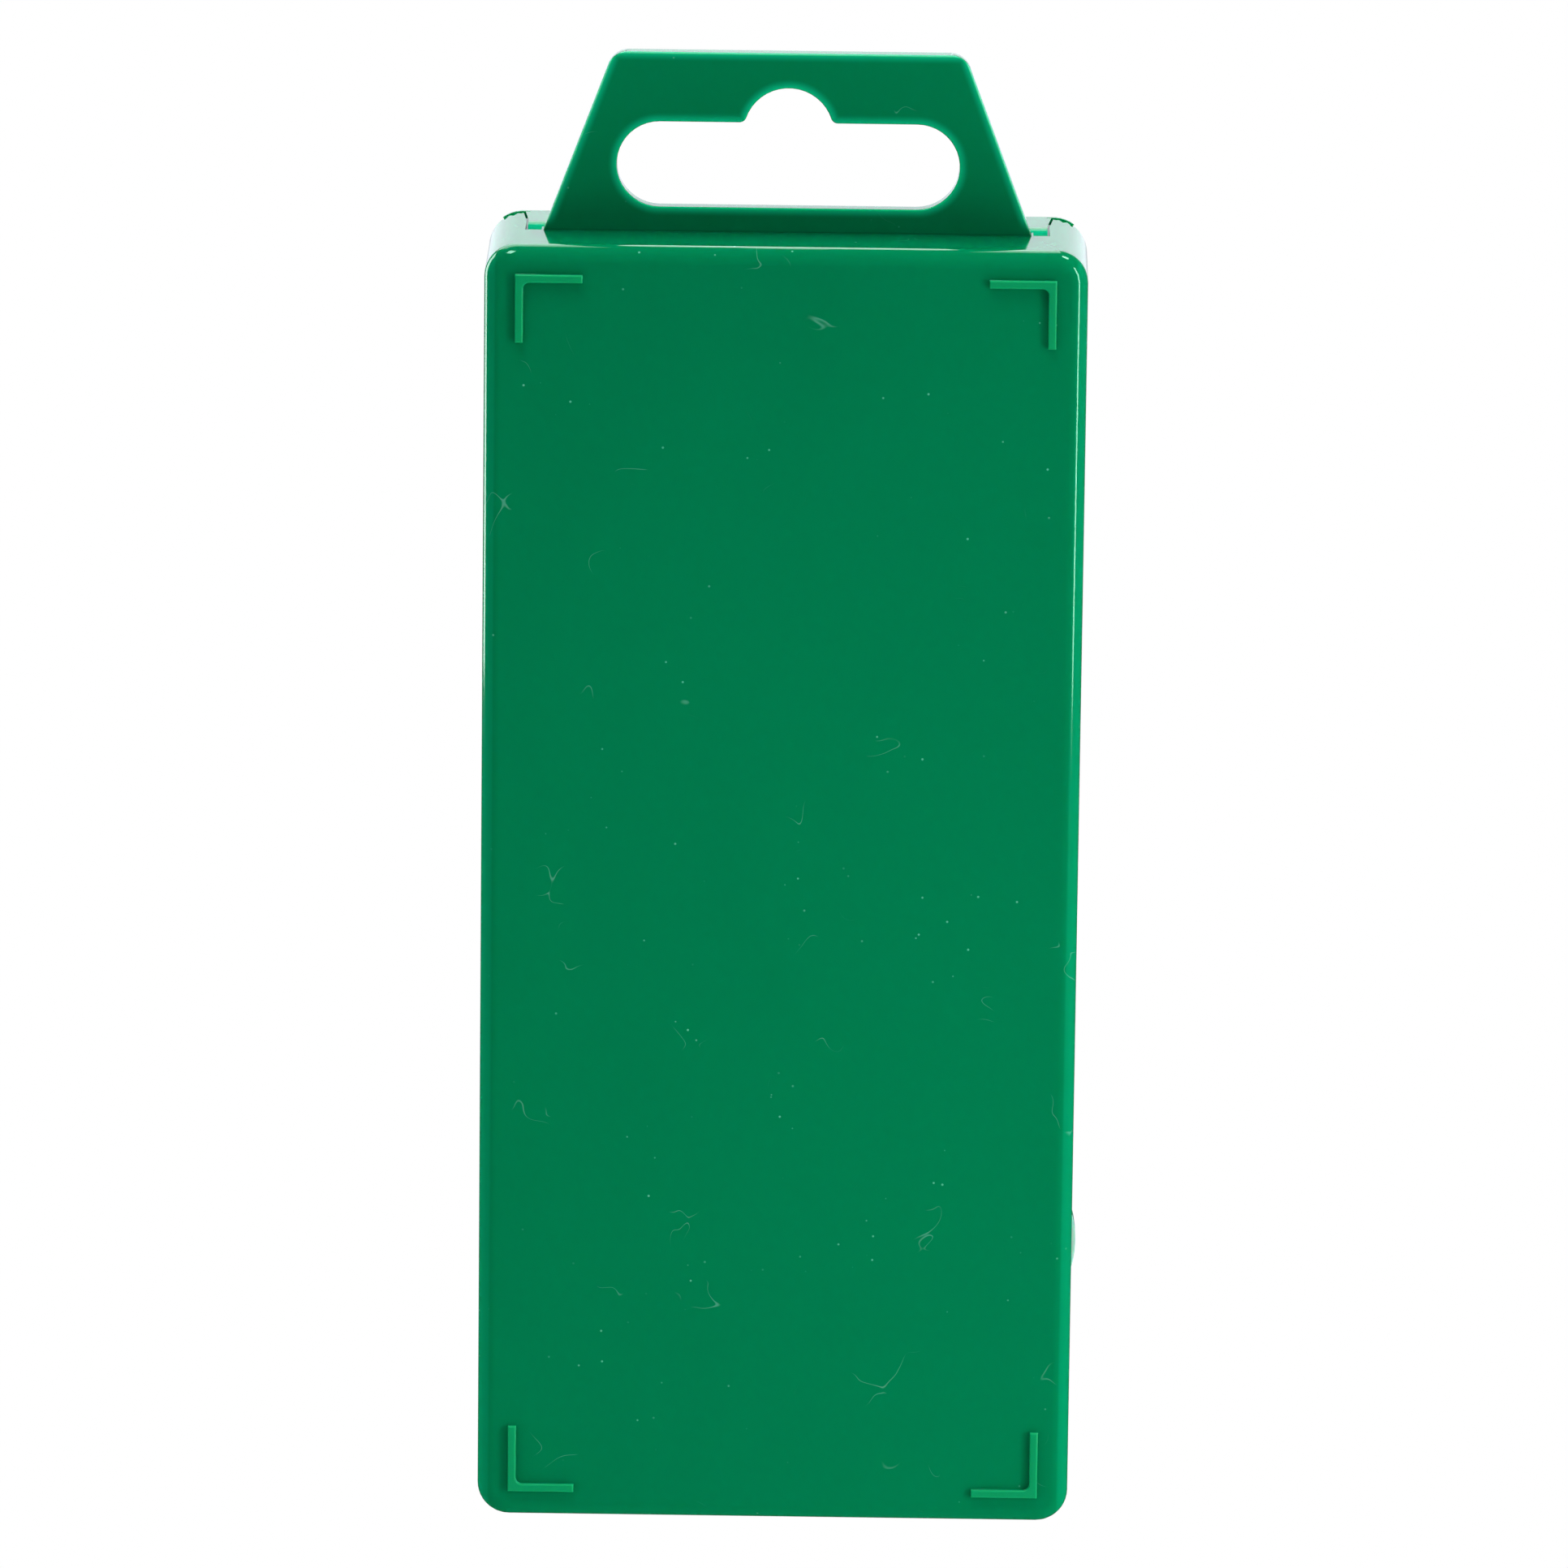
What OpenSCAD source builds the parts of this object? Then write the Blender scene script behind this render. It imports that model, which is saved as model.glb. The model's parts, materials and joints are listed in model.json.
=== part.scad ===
// Maximum minimum thermometer in a hanging case with a swing-up front cover.
// Every piece is drawn lying on its back: x to the right, y up, z from the case back to the front.
// hung() then stands it upright with the origin at the crown of the hook slot.

/* [Case] */
// Outer width of the case at its back
case_w = 56; // [52:1:70]
// Depth of the rear shell from back face to front rim
case_d = 19; // [19:0.5:26]
// Wall thickness of the rear shell
wall = 1.8; // [1.4:0.1:2.2]
// Radius of the four upright corners
corner_r = 3; // [2.6:0.1:6]
// Rounding of the edge between back and walls
edge_r = 1.65; // [0.8:0.05:2.4]
// Mould draft of the walls in degrees
draft = 0.6; // [0.3:0.1:1.5]

/* [Back ribs] */
// Distance of the corner ribs from the case sides
rib_side = 2.9; // [2.5:0.1:6]
// Distance of the corner ribs from the case top and bottom
rib_end = 2.6; // [2.5:0.1:6]
// Length of the level arm of a corner rib
rib_across = 6.25; // [4:0.05:12]
// Length of the upright arm of a corner rib
rib_along = 6.4; // [4:0.05:12]
// Width of a rib arm
rib_w = 0.75; // [0.5:0.05:1.5]
// Height of the ribs over the back face
rib_h = 0.5; // [0.3:0.1:1.2]
// Fillet inside the elbow of a rib
rib_fillet = 0.6; // [0.3:0.1:1.5]

/* [Hanger] */
// Width of the hanger along its top edge
tab_top_w = 32.8; // [30:0.2:38]
// Width of the hanger where it leaves the case
tab_base_w = 45.7; // [42:0.2:47]
// Height of the hanger over the top wall
tab_h = 17; // [16:0.5:24]
// Thickness of the hanger
tab_t = 2; // [1.5:0.1:2.5]
// Depth of the hanger's back face behind the case back
tab_back = 9.2; // [6:0.2:9.6]
// Radius of the hanger's top corners
tab_corner_r = 2; // [1:0.25:4]
// Length of the hook slot
slot_w = 32; // [26:0.5:33]
// Height of the hook slot
slot_h = 8; // [6:0.25:9]
// Wall left under the hook slot
slot_lift = 2.45; // [1.5:0.05:3]
// Radius of the centring dome over the slot
dome_r = 4.2; // [3.5:0.1:5]
// Rise of the dome over the slot
dome_rise = 3.25; // [2:0.05:3.4]
// Rounding where dome and slot meet
dome_fillet_r = 0.7; // [0.4:0.1:1]

/* [Hinge] */
// Width of the hinge notch beside the barrel
notch_w = 49; // [47.2:0.1:49.4]
// Distance past the hinge line at which the notch starts to open
notch_straight = 0.5; // [0.5:0.1:1]
// Angle at which the notch flanks open towards the front
notch_flare = 5; // [3:0.5:5]
// Free play beside the hinge tongue
notch_gap = 0.15; // [0.15:0.05:0.4]
// Wall left between the hanger's back face and the reliefs at the notch ends
relief_wall = 0.2; // [0.2:0.1:0.8]
// Wall left between the hanger's foot and the reliefs
relief_side = 0.15; // [0.1:0.05:0.6]
// Radius of the hinge barrel
barrel_r = 2; // [1.8:0.1:2.2]
// Height of the barrel over the top wall
barrel_proud = 0.15; // [0.1:0.05:0.6]
// Free play between hanger and barrel
barrel_gap = 0.3; // [0.2:0.05:0.5]
// Radius of the stub pins at the barrel ends
hinge_pin_r = 0.8; // [0.6:0.05:0.9]
// Length of each stub pin
hinge_pin_len = 1.6; // [1.2:0.1:1.7]
// Radial clearance of the stub pins
hinge_fit = 0.06; // [0.04:0.01:0.1]
// Thickness of the hinge tongue
tongue_t = 1.8; // [1.4:0.1:2.2]
// Material around the hinge bores
ear_wall = 1.8; // [1.4:0.1:2]

/* [Cover] */
// Thickness of the front cover
cover_t = 2.2; // [2:0.1:2.6]
// Free play around the cover inside the case rim
cover_gap = 0.3; // [0.2:0.05:0.5]
// Gap between the closed cover and its rest ribs
rest_gap = 0.15; // [0.1:0.05:0.3]
// Width of the cover frame beside the window
window_side = 4.6; // [3.6:0.2:6]
// Width of the cover frame under the window
window_foot = 5; // [4:0.5:8]
// Height of the closed hood above the window
hood_h = 25; // [24:0.5:30]
// Radius of the window corners
window_r = 3; // [2:0.5:5]
// Thickness of the clear pane
pane_t = 1.2; // [0.8:0.1:1.4]
// Width of the pane that lies behind the frame
pane_lap = 1.4; // [1:0.1:1.8]
// Free play around the pane in its rebate
pane_gap = 0.1; // [0.05:0.05:0.2]
// Number of louvre slots in the hood
louvre_n = 5; // [3:1:5]
// Length of a louvre slot
louvre_w = 34; // [20:1:40]
// Height of a louvre slot
louvre_h = 1.8; // [1.2:0.1:2.2]
// Distance from one louvre slot to the next
louvre_pitch = 3.8; // [3:0.1:3.8]
// Solid band between the window and the lowest louvre slot
louvre_foot = 4.5; // [3.5:0.5:6]
// Width of the rest ribs
rest_w = 3; // [2:0.5:4]
// How far the rest ribs stand out of the walls
rest_reach = 1.2; // [0.8:0.1:1.2]
// Distance of the outer rest ribs from the ends of the case
rest_in = 12; // [10:0.5:14]
// Height of the thumb lip above the case bottom
thumb_up = 23.5; // [20:0.5:30]
// Length of the thumb lip
thumb_len = 8; // [6:0.5:10]
// How far the thumb lip stands out of the case side
thumb_proud = 0.5; // [0.3:0.1:1]
// Radius of the thumb lip's outline
thumb_r = 10; // [8:0.5:14]
// Height of the lip along the top edge of the cover
lip_h = 0.7; // [0.5:0.1:0.7]
// Thickness of that lip
lip_t = 0.6; // [0.5:0.1:0.8]
// Free play between that lip and the front rim
lip_gap = 0.2; // [0.2:0.05:0.3]
// Reach of that lip past the notch at each end
lip_reach = 2; // [1.5:0.1:2.2]
// Height of that lip over the outline of the front rim
lip_over = 0.1; // [0.05:0.05:0.2]

/* [Scale plate] */
// Room between the plate and the closed cover
front_room = 7.3; // [7:0.1:7.5]
// Thickness of the plate
plate_t = 1.5; // [1.2:0.1:1.6]
// Free play between the plate and the case walls
plate_gap = 2; // [1.8:0.1:2.4]
// Free space around the bulbs in the plate
bulb_clear = 1; // [0.6:0.1:1.5]
// Distance of the plate's screws from its side edges
screw_in = 4; // [3.6:0.2:5]
// Distance of the lower screws from the plate's bottom edge
screw_foot = 5; // [4:0.5:7]
// Distance of the upper screws from the plate's top edge
screw_head_in = 6; // [4:0.5:8]
// Radius of the screw bosses
boss_r = 2.6; // [2.2:0.1:3]
// Radius of the screw shanks
screw_r = 1; // [0.8:0.05:1.1]
// Radius of the screw heads
screw_head_r = 1.9; // [1.7:0.1:2.2]
// Height of the screw heads
screw_head_h = 1.2; // [1:0.1:1.6]
// Length of the screw shanks
screw_len = 5.6; // [4.5:0.1:6]
// Length of the cross recess in the screw heads
recess_len = 2.2; // [1.6:0.1:2.6]
// Width of the cross recess
recess_w = 0.6; // [0.4:0.1:0.8]
// Depth of the cross recess
recess_depth = 0.6; // [0.4:0.1:0.8]
// Radial clearance of the screws in plate and bosses
screw_fit = 0.1; // [0.05:0.05:0.2]

/* [U-tube] */
// Distance between the two limbs
limb_pitch = 22; // [20:0.5:23]
// Outer radius of the glass tube
tube_r = 2.2; // [1.9:0.1:2.4]
// Bore radius of the glass tube
bore_r = 0.9; // [0.8:0.05:1]
// Free play between plate and tube
tube_stand = 0.3; // [0.2:0.1:0.5]
// Height of the bend's centre above the case bottom
bend_up = 19; // [18:0.5:22]
// Length of the straight limbs between bend and bulbs
limb_len = 74; // [66:1:90]
// Radius of the large bulb over the minimum limb
main_bulb_r = 3.8; // [3:0.1:4]
// Length of the large bulb
main_bulb_h = 21; // [16:0.5:21.5]
// Radius of the small bulb over the maximum limb
small_bulb_r = 3.2; // [2.8:0.1:3.6]
// Length of the small bulb
small_bulb_h = 16; // [12:0.5:18]
// Height of the case above the large bulb
bulb_head = 8; // [7.5:0.5:12]
// Length of the shoulder between limb and bulb
bulb_shoulder = 3; // [2:0.5:4]
// Wall of the bulbs
bulb_wall = 0.7; // [0.5:0.05:0.8]
// Filled part of the small bulb's height
small_fill = 0.55; // [0.4:0.05:0.7]
// Clearance between a filling and its glass
fill_gap = 0.05; // [0.03:0.01:0.08]

/* [Scale and indices] */
// Height of the scale's lowest mark above the bend's centre
scale_up = 6; // [5:0.5:7]
// Distance of the scale's highest mark below the bulbs
scale_down = 8; // [7.5:0.5:12]
// Coldest mark on the scale
scale_cold = -30; // [-40:1:-20]
// Hottest mark on the scale
scale_hot = 50; // [45:1:60]
// Temperature that the liquid shows
temp_now = 20; // [15:1:22]
// Temperature that the maximum index shows
temp_max = 27; // [24:1:40]
// Temperature that the minimum index shows
temp_min = 8; // [-10:1:12]
// Length of an index
index_len = 7; // [5:0.5:7]
// Radius of an index
index_r = 0.7; // [0.6:0.02:0.72]
// Radius of the steel needle inside an index
needle_r = 0.35; // [0.25:0.05:0.45]
// Length of the sheath beyond each needle end
needle_cap = 0.8; // [0.5:0.1:1.2]

/* [Tube holders] */
// Wall of the tube clips
clip_wall = 1; // [0.8:0.1:1.2]
// Width of the tube clips along the limb
clip_w = 4; // [3:0.25:4.5]
// Reach of the clip feet beside the tube
clip_foot = 2.6; // [2.4:0.1:3]
// Thickness of the clip feet
clip_foot_t = 0.8; // [0.6:0.1:1.2]
// Clearance between clip and tube
clip_fit = 0.05; // [0.03:0.01:0.1]
// Gap from the scale's end marks to the clips
clip_clear = 1.5; // [1:0.25:2]
// Radius of the rivet shanks
rivet_r = 0.6; // [0.5:0.05:0.7]
// Radius of the rivet heads
rivet_head_r = 1; // [0.9:0.05:1.1]
// Height of the rivet heads
rivet_head_h = 0.4; // [0.3:0.1:0.6]
// Radial clearance of the rivets
rivet_fit = 0.05; // [0.03:0.01:0.1]
// Thickness of the cradle under the bend
cradle_t = 1.4; // [1:0.1:1.6]
// Clearance between cradle and bend
cradle_fit = 0.1; // [0.05:0.01:0.2]

/* [Reset button] */
// Radius of the button
button_r = 4.5; // [4:0.1:5]
// Gap between the button and the cover pane
button_gap = 0.9; // [0.6:0.1:1.2]
// Travel of the button
travel = 2.4; // [2:0.1:2.4]
// Gap left under the fully pressed button
press_gap = 0.2; // [0.1:0.05:0.3]
// Wall of the button's cap
button_wall = 1.2; // [1:0.1:1.4]
// Depth of the finger hollow in the button
button_dish = 0.5; // [0.3:0.1:0.6]
// Radius of the button's stem
stem_r = 1.5; // [1.2:0.1:1.7]
// Radius of the stem end that carries the magnets
stem_end_r = 1; // [0.8:0.05:1.1]
// Length of the stem end behind the carrier
stem_tail = 0.5; // [0.5:0.05:0.6]
// Radial clearance of the stem end in carrier and clip
stem_end_fit = 0.05; // [0.03:0.01:0.1]
// Radial clearance of the button and its stem
button_fit = 0.1; // [0.06:0.02:0.16]
// Wall of the collar round the button
collar_wall = 1.2; // [1:0.1:1.4]
// Length of the collar that holds the button at rest
collar_hold = 0.9; // [0.6:0.1:1.2]
// Floor of the collar
collar_floor = 0.6; // [0.4:0.1:0.8]
// Radius of the bush that passes the plate
bush_r = 2.7; // [2.4:0.1:3]
// Length of the bush behind the plate
bush_tail = 0.5; // [0.3:0.1:0.8]
// Radial clearance of the bush in the plate
bush_fit = 0.05; // [0.03:0.01:0.1]
// Wire diameter of the return spring
spring_wire = 0.4; // [0.3:0.05:0.45]
// Coils of the return spring
spring_coils = 4; // [3:1:4]
// Gap at each end of the return spring
spring_gap = 0.05; // [0.03:0.01:0.1]

/* [Magnet carrier] */
// Gap between the magnets and the plate
magnet_gap = 0.3; // [0.2:0.05:0.4]
// Thickness of the magnet strips
magnet_t = 1.2; // [1:0.1:1.3]
// Width of the magnet strips
magnet_w = 5; // [4:0.5:6]
// Thickness of the carrier
carrier_t = 1.5; // [1.2:0.1:1.6]
// Rim of the carrier outside the magnets
carrier_rim = 1; // [0.6:0.1:1.5]
// Radius of the guide posts
post_r = 1.5; // [1.2:0.1:1.8]
// Distance of the guide posts from the ends of the carrier
post_in = 10; // [9:0.5:12]
// Radial clearance of the carrier on its posts
post_fit = 0.15; // [0.1:0.05:0.25]
// Gap between the carrier's stop pads and the plate
stop_gap = 0.15; // [0.1:0.05:0.2]
// Side of the carrier's stop pads
stop_pad = 3; // [2:0.5:4]
// Web between the carrier's windows and its other holes
carrier_web = 1.5; // [1:0.1:2]
// Radius of the clip on the stem end
stem_clip_r = 2.6; // [2:0.1:3]
// Thickness of the clip on the stem end
stem_clip_t = 0.4; // [0.3:0.05:0.5]

/* [Hidden] */
$fn = 64;
// Outer height of the case at its back, without the hanger: the glass and the room at its ends
case_h = bend_up + limb_len + main_bulb_h + bulb_head;
half_w = case_w / 2;
half_h = case_h / 2;
// Overlap with which cutting shapes pass the faces that they cut
cut = 1;
// Depth by which the shapes of one piece run into each other
lap = 0.3;
// Outward shift of a drafted wall at depth z
function flare(z) = z * tan(draft);

// Hanger and slot heights, measured from the middle of the case
slot_y = half_h + slot_lift + slot_h / 2;
slot_top = slot_y + slot_h / 2;
crown_y = slot_top + dome_rise;
dome_y = crown_y - dome_r;
// Depth by which the rounding beside the dome crosses the dome's arc
dome_bite = 0.01;
tab_front = tab_back + tab_t;
hang_z = tab_back + tab_t / 2;

// Hinge line and notch
hinge_z = tab_front + barrel_gap + barrel_r;
hinge_y = half_h + flare(hinge_z) + barrel_proud - barrel_r;
hinge_bore_r = hinge_pin_r + hinge_fit;
ear_r = hinge_bore_r + ear_wall;
// Depth from which the notch opens, past the part of the tongue that swings down into it
notch_turn = hinge_z + notch_straight;
function notch_half(z) = notch_w / 2 + max(0, z - notch_turn) * tan(notch_flare);
barrel_half = notch_w / 2 - notch_gap;

// Front cover
cover_back = case_d - cover_t;
cover_half = half_w + flare(cover_back) - wall - cover_gap;
cover_bottom = -(half_h + flare(cover_back) - wall - cover_gap);
// Distance below the hinge at which the full width of the cover swings clear of the case
shoulder_drop = case_d - hinge_z + barrel_proud;
shoulder_y = hinge_y - shoulder_drop;
cover_top = hinge_y + barrel_r;
cover_r = corner_r - wall;
lip_half = notch_half(case_d) + lip_reach;
window_half = cover_half - window_side;
window_bottom = cover_bottom + window_foot;
window_top = hinge_y - hood_h;
thumb_y = -half_h + thumb_up;
thumb_tip = half_w + flare(case_d) + thumb_proud;
rest_rows = [rest_in - half_h, 0, half_h - rest_in];

// Scale plate
plate_front = cover_back - front_room;
plate_back = plate_front - plate_t;
plate_half = half_w - wall - plate_gap;
plate_bottom = -half_h + wall + plate_gap;
bend_y = -half_h + bend_up;
limb_x = limb_pitch / 2;
limb_top = bend_y + limb_len;
plate_top = limb_top + main_bulb_h;
screw_x = plate_half - screw_in;
screw_rows = [plate_bottom + screw_foot, plate_top - screw_head_in];
bulb_notch_r = main_bulb_r + bulb_clear;

// Tube, scale and liquid levels
tube_z = plate_front + tube_stand + tube_r;
scale_y = bend_y + scale_up;
scale_top = limb_top - scale_down;
// Height of one degree on the scale
degree = (scale_top - scale_y) / (scale_hot - scale_cold);
function max_level(t) = scale_y + (t - scale_cold) * degree;
function min_level(t) = scale_y + (scale_hot - t) * degree;
clip_rows = [scale_y - clip_clear - clip_w / 2, scale_top + clip_clear + clip_w / 2];
clip_r = tube_r + clip_fit;
clip_foot_x = clip_r + clip_wall + clip_foot / 2;

// Reset button and magnet carrier
button_y = (scale_y + scale_top) / 2;
button_top = cover_back - button_gap;
collar_top_z = plate_front + collar_floor;
skirt_z = collar_top_z + travel + press_gap;
collar_z = skirt_z + collar_hold;
magnet_front = plate_back - magnet_gap;
carrier_front = magnet_front - magnet_t;
carrier_back = carrier_front - carrier_t;
carrier_half = limb_x + magnet_w / 2 + carrier_rim;
carrier_len = scale_top - scale_y + 2 * carrier_rim;
post_y = carrier_len / 2 - post_in;
spring_len = button_top - button_wall - collar_top_z;
spring_r = stem_r + button_fit + spring_wire;
// Points round the spring's wire, and rings of points in one coil
wire_sides = 8;
coil_steps = 20;

// Stands a piece that lies on its back upright, with the crown of the hook slot at the origin
module hung() {
    translate([0, hang_z, -crown_y]) rotate([90, 0, 0]) children();
}

// Draws its children on both sides of the case's middle plane
module both_sides() {
    children();
    mirror([1, 0, 0]) children();
}

// Turns a shape made about z so that its axis runs up the case
module upright() {
    rotate([-90, 0, 0]) children();
}

// Rectangle with round corners, given by its lower left and upper right corner
module round_rect(low, high, r) {
    size = high - low;
    translate(low + [r, 0]) square([size.x - 2 * r, size.y]);
    translate(low + [0, r]) square([size.x, size.y - 2 * r]);
    for (x = [low.x + r, high.x - r], y = [low.y + r, high.y - r]) {
        translate([x, y]) circle(r);
    }
}

// Carries a wall profile round the case: straight along the sides, revolved at the corners
module round_the_case(depth_low, depth_high) {
    cx = half_w - corner_r;
    cy = half_h - corner_r;
    translate([-cx, -cy, depth_low]) cube([2 * cx, 2 * cy, depth_high - depth_low]);
    for (side = [0, 1]) {
        rotate([0, 0, 180 * side]) {
            translate([cx, 0, 0]) rotate([90, 0, 0]) linear_extrude(2 * cy, center = true) children();
            rotate([0, 0, 90]) translate([cy, 0, 0]) rotate([90, 0, 0])
                linear_extrude(2 * cx, center = true) children();
            translate([cx, cy, 0]) rotate_extrude(angle = 90) children();
            translate([-cx, cy, 0]) rotate([0, 0, 90]) rotate_extrude(angle = 90) children();
        }
    }
}

// Outer wall profile: drafted side with the rounding towards the back face
module outer_profile() {
    arc_x = corner_r + flare(edge_r) - edge_r / cos(draft);
    tangent = [arc_x + edge_r * cos(draft), edge_r - edge_r * sin(draft)];
    polygon([[0, 0], [arc_x, 0], [arc_x, edge_r], tangent, [corner_r + flare(case_d), case_d], [0, case_d]]);
    intersection() {
        translate([arc_x, edge_r]) circle(edge_r);
        polygon([[arc_x, edge_r], [arc_x, -cut], [arc_x + edge_r + cut, -cut], tangent]);
    }
}

// Inner wall profile: parallel to the outer one by the wall thickness
module inner_profile() {
    inner_r = corner_r - wall;
    top = case_d + cut;
    polygon([[0, wall], [inner_r + flare(wall), wall], [inner_r + flare(top), top], [0, top]]);
}

// Trapezoid of the hanger with round top corners
module hanger_outline() {
    base = half_h - wall / 2;
    top = half_h + tab_h;
    slope = (tab_base_w - tab_top_w) / 2 / tab_h;
    base_half = tab_base_w / 2;
    lean = atan(slope);
    arc_x = tab_top_w / 2 - tab_corner_r * (1 - sin(lean)) / cos(lean);
    arc = [arc_x, top - tab_corner_r];
    both_sides() {
        polygon([[0, base], [base_half, base], [base_half, half_h],
            arc + tab_corner_r * [cos(lean), sin(lean)],
            arc, [arc_x, top], [0, top]]);
        translate(arc) circle(tab_corner_r);
    }
}

// Hook slot: long hole with a centring dome and rounded edges beside the dome
module hook_slot() {
    half = slot_w / 2 - slot_h / 2;
    translate([-half, slot_y - slot_h / 2]) square([2 * half, slot_h]);
    translate([0, dome_y]) circle(dome_r);
    reach = dome_r + dome_fillet_r - dome_bite;
    rise = slot_top + dome_fillet_r - dome_y;
    run = sqrt(reach * reach - rise * rise);
    on_dome = [run, rise] * dome_r / reach + [0, dome_y];
    both_sides() {
        translate([half, slot_y]) circle(slot_h / 2);
        difference() {
            polygon([[0, slot_y], [run, slot_y], [run, slot_top], on_dome, [0, on_dome.y]]);
            translate([run, slot_top + dome_fillet_r]) circle(dome_fillet_r);
        }
    }
}

// One L-shaped corner rib with its elbow at the origin
module corner_rib() {
    square([rib_across, rib_w]);
    square([rib_w, rib_along]);
    elbow = rib_w + rib_fillet;
    difference() {
        square(elbow);
        translate([elbow, elbow]) circle(rib_fillet);
    }
}

module back_ribs() {
    for (sx = [0, 1], sy = [0, 1]) {
        mirror([sx, 0, 0]) mirror([0, sy, 0])
            translate([rib_side - half_w, rib_end - half_h, -rib_h])
                linear_extrude(rib_h + wall / 2) corner_rib();
    }
}

// Ribs inside the walls that the closed cover comes to rest on
module rest_ribs() {
    top = cover_back - rest_gap;
    both_sides() {
        for (y = rest_rows) {
            translate([half_w - wall - rest_reach, y - rest_w / 2, wall / 2])
                cube([rest_reach + wall / 2, rest_w, top - wall / 2]);
        }
        translate([limb_x - rest_w / 2, -half_h + wall / 2, wall / 2])
            cube([rest_w, rest_reach + wall / 2, top - wall / 2]);
    }
}

// Blocks beside the notch that take the stub pins of the hinge
module hinge_ears() {
    both_sides() {
        translate([notch_w / 2, hinge_y - ear_r, tab_front])
            cube([half_w - wall + lap - notch_w / 2, half_h - wall / 2 - hinge_y + ear_r,
                hinge_z + ear_r - tab_front]);
    }
}

// Notch in the top wall for the hinge tongue, opening towards the front rim, with a relief beside the hanger
module hinge_notch() {
    front = case_d + cut;
    rear = notch_w / 2;
    relief_in = tab_base_w / 2 + relief_side;
    relief_back = tab_back + relief_wall;
    translate([0, half_h + flare(case_d) + cut, 0]) rotate([90, 0, 0])
        linear_extrude(half_h + flare(case_d) + 2 * cut - hinge_y + ear_r)
            both_sides()
                polygon([[0, tab_front], [relief_in, tab_front], [relief_in, relief_back],
                    [rear, relief_back], [rear, notch_turn], [notch_half(front), front], [0, front]]);
}

module hinge_bores() {
    half = barrel_half + hinge_pin_len + notch_gap;
    translate([-half, hinge_y, hinge_z]) rotate([0, 90, 0]) cylinder(r = hinge_bore_r, h = 2 * half);
}

// Gap in the side wall through which the thumb lip reaches
module thumb_gap() {
    half = thumb_len / 2 + cover_gap;
    translate([-half_w - 2 * cut, thumb_y - half, cover_back - cover_gap])
        cube([2 * cut + wall + rest_reach, 2 * half, cover_t + cover_gap + cut]);
}

// Bosses for the plate screws and posts that guide the magnet carrier
module plate_bosses() {
    for (y = screw_rows) {
        both_sides() translate([screw_x, y, wall / 2]) difference() {
            cylinder(r = boss_r, h = plate_back - wall / 2);
            translate([0, 0, wall / 2]) cylinder(r = screw_r + screw_fit, h = plate_back);
        }
    }
    for (y = [-post_y, post_y]) {
        translate([0, button_y + y, wall / 2]) cylinder(r = post_r, h = plate_back - wall / 2);
    }
}

module rear_shell() {
    color("seagreen") hung() {
        difference() {
            union() {
                difference() {
                    round_the_case(0, case_d) outer_profile();
                    round_the_case(wall, case_d + cut) inner_profile();
                }
                rest_ribs();
                hinge_ears();
            }
            hinge_notch();
            hinge_bores();
            thumb_gap();
        }
        translate([0, 0, tab_back]) linear_extrude(tab_t) difference() {
            hanger_outline();
            hook_slot();
        }
        back_ribs();
        plate_bosses();
    }
}

// Outline of the cover: full width below the shoulders, as narrow as the hinge barrel above them
module cover_outline() {
    round_rect([-cover_half, cover_bottom], [cover_half, shoulder_y], cover_r);
    translate([-barrel_half, shoulder_y - cover_r])
        square([2 * barrel_half, cover_top - shoulder_y + cover_r]);
    intersection() {
        translate([thumb_r - thumb_tip, thumb_y]) circle(thumb_r);
        translate([-thumb_tip, thumb_y - thumb_len / 2]) square([thumb_tip - window_half - cut, thumb_len]);
    }
}

module louvres() {
    for (i = [0 : louvre_n - 1]) {
        y = window_top + louvre_foot + i * louvre_pitch;
        half = (louvre_w - louvre_h) / 2;
        translate([-half, y]) square([2 * half, louvre_h]);
        for (x = [-half, half]) {
            translate([x, y + louvre_h / 2]) circle(louvre_h / 2);
        }
    }
}

// Tongue and barrel that carry the cover on its stub pins
module hinge_tongue() {
    front = notch_half(case_d) - notch_gap;
    translate([0, cover_top, 0]) rotate([90, 0, 0]) linear_extrude(tongue_t)
        polygon([[-barrel_half, hinge_z], [barrel_half, hinge_z], [barrel_half, notch_turn], [front, case_d],
            [-front, case_d], [-barrel_half, notch_turn]]);
    translate([-barrel_half, hinge_y, hinge_z]) rotate([0, 90, 0])
        cylinder(r = barrel_r, h = 2 * barrel_half);
    pin_half = barrel_half + hinge_pin_len;
    translate([-pin_half, hinge_y, hinge_z]) rotate([0, 90, 0]) cylinder(r = hinge_pin_r, h = 2 * pin_half);
}

// Lip along the top edge of the cover: it lies before the front rim and closes the gaps beside the tongue
module cover_lip() {
    foot = cover_top - lip_h;
    rim = [half_w + flare(case_d) + lip_over, half_h + flare(case_d) + lip_over];
    translate([-barrel_half, foot, case_d - lap]) cube([2 * barrel_half, lip_h, lap + lip_gap + lip_t]);
    translate([0, 0, case_d + lip_gap]) linear_extrude(lip_t) intersection() {
        round_rect(-rim, rim, corner_r + flare(case_d) + lip_over);
        translate([-lip_half, foot]) square([2 * lip_half, lip_h]);
    }
}

module front_cover() {
    color("seagreen") hung() {
        difference() {
            translate([0, 0, cover_back]) linear_extrude(cover_t) difference() {
                cover_outline();
                round_rect([-window_half, window_bottom], [window_half, window_top], window_r);
                louvres();
            }
            rebate = pane_lap + pane_gap;
            translate([0, 0, cover_back - cut]) linear_extrude(pane_t + cut)
                round_rect([-window_half - rebate, window_bottom - rebate],
                    [window_half + rebate, window_top + rebate], window_r + rebate);
        }
        hinge_tongue();
        cover_lip();
    }
}

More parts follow.
